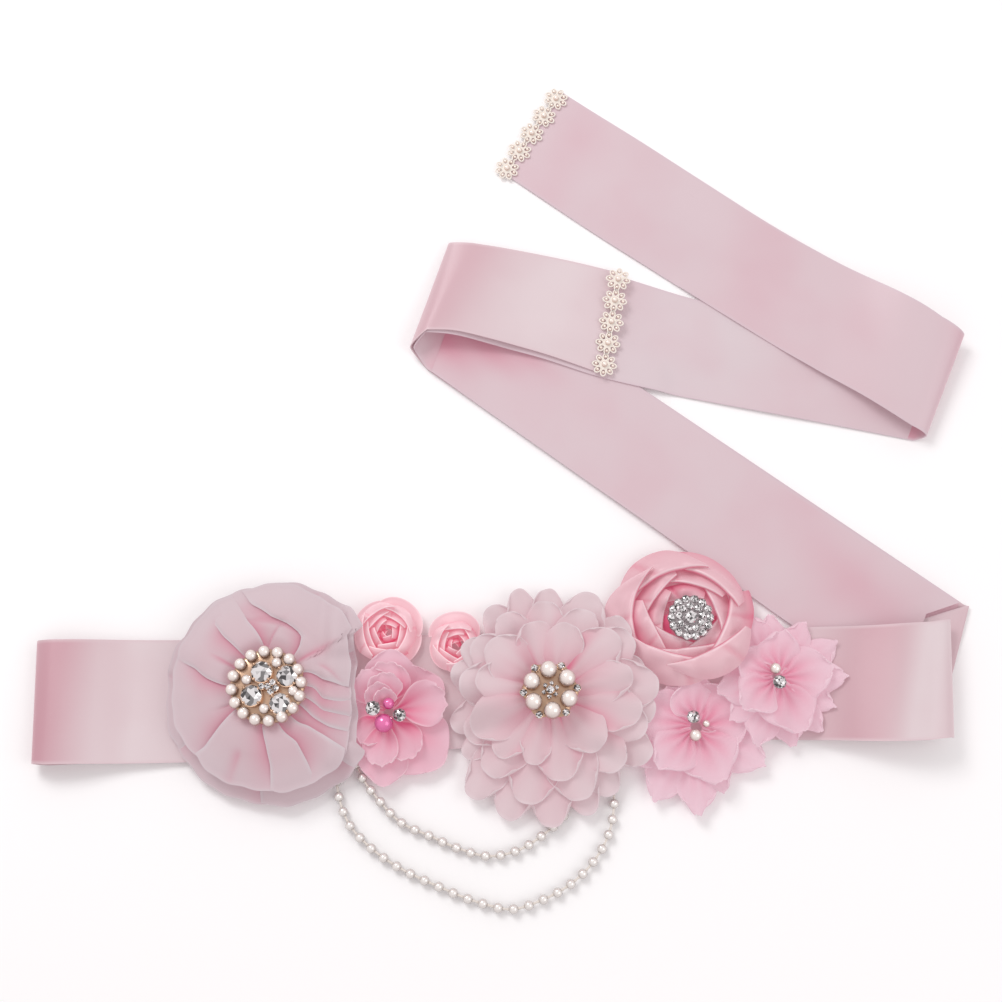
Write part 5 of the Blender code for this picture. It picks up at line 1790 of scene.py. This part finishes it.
@dataclass
class Jewels:
    """Brooches, the rose's button, and the loose beads sewn on the small flowers."""

    seed: int = 21

    def build(self, pile: Pile) -> None:
        """Make every jewel."""
        chance = np.random.default_rng(self.seed)
        self._left_brooch(self._mount(pile, (-117.2, -102.4), 18.8, chance))
        self._middle_brooch(self._mount(pile, (24.6, -104.6), 13.6, chance))
        self._rose_button(self._mount(pile, (96.2, -67.3), 11.5, chance))
        for node, x, y, radius, finish in LOOSE_PEARLS:
            bead = Pieces()
            z = brooch_height(pile, (x, y), radius * 0.55)
            bead.add(*pearl(radius, (x, y, z + radius), 22))
            made = bead.make(node + "_bead", finish)
            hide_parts(node)
        for node, x, y, radius in LOOSE_STONES:
            mount = self._mount(pile, (x, y), radius, chance)
            mount.claw_stone(radius * 0.94, (0.0, 0.0), radius * 0.75)
            mount.make(node, BRIGHT_SILVER, "_cup", "_stone")

    def _mount(self, pile: Pile, centre: Point, radius: float, chance: Chance) -> Mount:
        """Start a jewel where its disc comes to rest."""
        return Mount((*centre, brooch_height(pile, centre, radius)), chance)

    def _left_brooch(self, mount: Mount) -> None:
        """Ring of sixteen pearls round four more, four large stones and five small ones."""
        mount.plate([(18.3, 0.0), (18.8, 0.5), (18.6, 1.2), (17.0, 1.9), (10.0, 1.5), (0.0, 1.5)],
                    64, 0.0, 0.02, 16)
        for offset in circle(17.4, np.arange(16) * 22.5 + 6.0):
            mount.cupped_pearl(3.1, offset, 3.3, [(2.6, 0.2), (3.0, 1.6), (2.3, 2.2), (0.0, 2.2)], 14)
        for offset in ((-9.9, 3.0), (4.8, 11.6), (-0.6, -11.4), (13.6, -2.6)):
            mount.cupped_pearl(2.7, offset, 3.9, [(2.0, 0.2), (2.4, 2.2), (1.6, 2.8), (0.0, 2.8)], 12)
        for offset in ((-2.6, 6.9), (10.2, 4.9), (-7.2, -4.9), (7.2, -9.0)):
            mount.claw_stone(5.4, offset, 4.4)
        for offset in ((3.2, 1.6), (0.9, -0.4), (4.9, -1.2), (2.4, -3.0), (-2.2, -0.4)):
            mount.claw_stone(1.7, offset, 5.0)
        mount.make("left_brooch", PALE_GOLD)

    def _middle_brooch(self, mount: Mount) -> None:
        """Six pearls with a small stone between each two, round a cluster."""
        angles = 95.0 - 60.0 * np.arange(6)
        between = angles + math.degrees(0.524)
        cup = [(3.6, 0.2), (4.3, 2.4), (4.1, 2.9), (3.0, 2.7), (0.0, 2.7)]
        mount.plate([(13.2, 0.0), (13.7, 0.5), (13.4, 1.2), (11.0, 1.6), (0.0, 1.3)],
                    60, math.radians(5.0), 0.05, 6)
        for pearl_offset, stone_offset in zip(circle(10.2, angles), circle(13.4, between)):
            mount.cupped_pearl(4.3, pearl_offset, 4.6, cup, 20, 22)
            mount.claw_stone(1.9, stone_offset, 2.4)
        mount.claw_stone(2.1, (0.0, 0.0), 5.2)
        for offset in circle(3.4, np.arange(6) * 60.0 + 20.0):
            mount.claw_stone(1.15, offset, 4.2)
        mount.make("middle_brooch", PALE_GOLD)

    def _rose_button(self, mount: Mount) -> None:
        """Domed silver button set with rings of stones."""
        mount.plate([(10.4, 0.0), (11.4, 0.7), (11.5, 1.6), (10.4, 2.6), (7.8, 3.2), (5.0, 3.8), (0.0, 4.2)],
                    56, 0.0, 0.03, 14)
        for offset in circle(9.6, np.arange(14) * 360.0 / 14):
            mount.claw_stone(2.05, offset, 2.9)
        for offset in circle(5.9, np.arange(9) * 40.0 + 12.0):
            mount.claw_stone(1.9, offset, 4.0)
        mount.claw_stone(3.3, (0.0, 0.0), 5.0)
        mount.make("rose_button", BRIGHT_SILVER)


# Swags of pearls.

OUTER_SWAG = [
    (-83.5, -135.9), (-83.4, -145.0), (-82.2, -153.8), (-76.4, -168.7), (-66.3, -179.5), (-53.2, -188.7),
    (-32.0, -198.8), (-10.0, -207.1), (4.9, -210.1), (20.1, -205.8), (33.8, -198.6), (45.1, -188.4),
    (53.3, -175.5), (56.9, -160.4), (56.4, -146.2), (56.4, -131.5),
]
INNER_SWAG = [
    (-75.0, -135.6), (-70.5, -145.4), (-61.5, -157.1), (-50.3, -168.0), (-36.0, -174.5), (-22.0, -180.5),
    (-5.8, -184.5), (9.3, -181.3), (22.5, -173.0), (31.0, -165.5), (37.5, -150.0), (38.5, -132.1),
]


@dataclass
class Swag:
    """A string of pearls along a path, resting on the table."""

    name: str
    path: list[Point]
    radius: float = 2.5
    pitch: float = 7.7
    thread: float = 0.45
    knot: float = 0.35
    sides: int = 8

    def build(self, pile: Pile) -> None:
        """Make the pearls and the thread that they are strung on."""
        fractions = np.linspace(0.0, 1.0, 300)
        line = smooth_line(self.path, fractions)
        length = float(np.linalg.norm(np.diff(line, axis=0), axis=1).sum())
        beads = round(length / self.pitch)
        centres = even_points(line, (np.arange(beads) + 0.5) / beads)
        pearls = Pieces()
        for x, y in centres:
            pearls.add(*pearl(self.radius, (x, y, self.radius), 14))
        made = pearls.make(self.name + "_pearls", SWAG_PEARL)
        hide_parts(self.name)
        self._thread(line, centres)
        LOG.info("%s: %d pearls on %.0f mm", self.name, beads, length)

    def _thread(self, line: Array, centres: Array) -> None:
        """Tube along the path, swelling from the thread's radius to a small knot beside each pearl."""
        along = np.gradient(line, axis=0)
        along /= np.linalg.norm(along, axis=1, keepdims=True)
        gap = np.sqrt(((line[:, None] - centres[None]) ** 2).sum(axis=2)).min(axis=1)
        radius = self.thread + self.knot * np.exp(-((gap - self.radius - 0.3) / 0.5) ** 2)
        turn = 2 * math.pi * np.arange(self.sides) / self.sides
        side = radius[:, None] * np.cos(turn)[None, :]
        grid = np.stack([line[:, 0:1] - along[:, 1:2] * side, line[:, 1:2] + along[:, 0:1] * side,
                         self.radius + radius[:, None] * np.sin(turn)[None, :]], axis=2)
        faces = grid_quads(len(line), self.sides, True).tolist()
        faces.append(list(range(self.sides)))
        faces.append([(len(line) - 1) * self.sides + k for k in reversed(range(self.sides))])
        new_piece(self.name + "_thread", grid.reshape(-1, 3), faces, PEARL_THREAD)


# Daisy trims.

@dataclass
class DaisyTrim:
    """Row of beaded lace daisies across the end of a tail."""

    name: str
    first: Point
    last: Point
    motifs: int = 5
    petals: int = 8
    cord: float = 0.45

    def build(self, pile: Pile) -> None:
        """Make the lace petals and the beads on them."""
        line = np.array(self.last) - np.array(self.first)
        turn = math.atan2(line[1], line[0])
        lace, beads = Pieces(), Pieces()
        middles = [np.array(self.first) + line * k / (self.motifs - 1) for k in range(self.motifs)]
        z = max(brooch_height(pile, (x, y), 6.0) for x, y in middles)
        for x, y in middles:
            lace.add(*turned([(2.4, 0.2), (2.9, 0.7), (2.4, 1.2), (0.0, 1.3)], (x, y, z), 16))
            for a in turn + 2 * math.pi * np.arange(self.petals) / self.petals:
                self._petal(lace, beads, (x, y, z), a)
            beads.add(*pearl(1.6, (x, y, z + 1.9), 14))
        made = lace.make(self.name + "_lace", IVORY_LACE)
        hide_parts(self.name)
        beads.make(self.name + "_beads", TRIM_PEARL)
        LOG.info("%s: %d daisies", self.name, self.motifs)

    def _petal(self, lace: Pieces, beads: Pieces, place: Spot, a: float) -> None:
        """One looped petal, an oval ring of cord with a small bead at its tip."""
        x, y, z = place
        steps, sides = 14, 6
        turn = 2 * math.pi * np.arange(steps)[:, None] / steps
        tube = 2 * math.pi * np.arange(sides)[None, :] / sides
        out = 4.5 + (2.0 + self.cord * np.cos(tube)) * np.cos(turn)
        side = (1.35 + self.cord * np.cos(tube)) * np.sin(turn)
        up = 0.75 + self.cord * np.sin(tube) + np.zeros_like(turn)
        ahead, beside = math.cos(a), math.sin(a)
        grid = np.stack([x + out * ahead - side * beside, y + out * beside + side * ahead, z + up], axis=2)
        quads = grid_quads(steps + 1, sides, True) % (steps * sides)
        lace.add(grid.reshape(-1, 3), quads.tolist())
        beads.add(*pearl(0.95, (x + 4.6 * ahead, y + 4.6 * beside, z + 1.0), 8))


# Room.

@dataclass
class Studio:
    """Plain pale floor, soft light and the camera at the photograph's angle."""

    tilt: float = 15.0
    distance: float = 0.8
    focus: Point = (-0.00615, -0.01627)
    field_of_view: float = 2 * math.atan(501.0 / 1500.0)
    floor_half: float = 6.0
    floor_drop: float = 0.0004
    air: Colour = (1.0, 0.955, 0.965)
    air_strength: float = 0.72
    lights: tuple[tuple[str, Spot, float, float], ...] = (
        ("key_light", (-0.6, 0.7, 1.1), 0.6, 8.5),
        ("fill_light", (0.9, -0.35, 0.9), 0.9, 3.0),
    )

    def build(self) -> None:
        """Make the floor, the lights and the camera."""
        self._floor()
        for light in self.lights:
            self._light(*light)
        world = bpy.data.worlds.new("studio_air")
        world.use_nodes = True
        background = world.node_tree.nodes["Background"]
        background.inputs[0].default_value = (*self.air, 1.0)
        background.inputs[1].default_value = self.air_strength
        bpy.context.scene.world = world
        self._camera()
        bpy.context.scene.view_settings.view_transform = "Standard"

    def _floor(self) -> None:
        """Large flat floor just under the sash."""
        mesh = bpy.data.meshes.new("floor")
        size = self.floor_half
        ends = [(-size, -size, 0.0), (size, -size, 0.0), (size, size, 0.0), (-size, size, 0.0)]
        mesh.from_pydata(ends, [], [(0, 1, 2, 3)])
        mesh.materials.append(HardFinish("pale_floor", "", (0.95, 0.945, 0.945), 0.9).material())
        floor = bpy.data.objects.new("floor", mesh)
        bpy.context.scene.collection.objects.link(floor)
        floor.location.z = -self.floor_drop

    def _light(self, name: str, place: Spot, size: float, power: float) -> None:
        """Square soft light that looks at the sash."""
        lamp = bpy.data.lights.new(name, "AREA")
        lamp.size = size
        lamp.energy = power
        made = bpy.data.objects.new(name, lamp)
        bpy.context.scene.collection.objects.link(made)
        made.location = place
        made.rotation_euler = (-Vector(place)).to_track_quat("-Z", "Y").to_euler()

    def _camera(self) -> None:
        """Camera tilted back from straight down, framed as the photograph is."""
        lens = bpy.data.cameras.new("camera")
        lens.angle = self.field_of_view
        made = bpy.data.objects.new("camera", lens)
        bpy.context.scene.collection.objects.link(made)
        tilt = math.radians(self.tilt)
        back, up = self.distance * math.sin(tilt), self.distance * math.cos(tilt)
        made.location = (self.focus[0], self.focus[1] - back, up)
        made.rotation_euler = (tilt, 0.0, 0.0)
        bpy.context.scene.camera = made


def main() -> None:
    """Build the sash from the table up, then the room."""
    pile = Pile()
    Ribbon().build(pile)
    Swag("pearl_swag_outer", OUTER_SWAG).build(pile)
    Swag("pearl_swag_inner", INNER_SWAG).build(pile)
    Flowers().build(pile)
    Jewels().build(pile)
    DaisyTrim("trim_top", (31.5, 237.9), (3.4, 194.0)).build(pile)
    DaisyTrim("trim_middle", (64.5, 124.6), (56.1, 74.8)).build(pile)
    Studio().build()


if __name__ == "__main__":
    logging.basicConfig(level=logging.INFO, format="%(name)s: %(message)s")
    main()
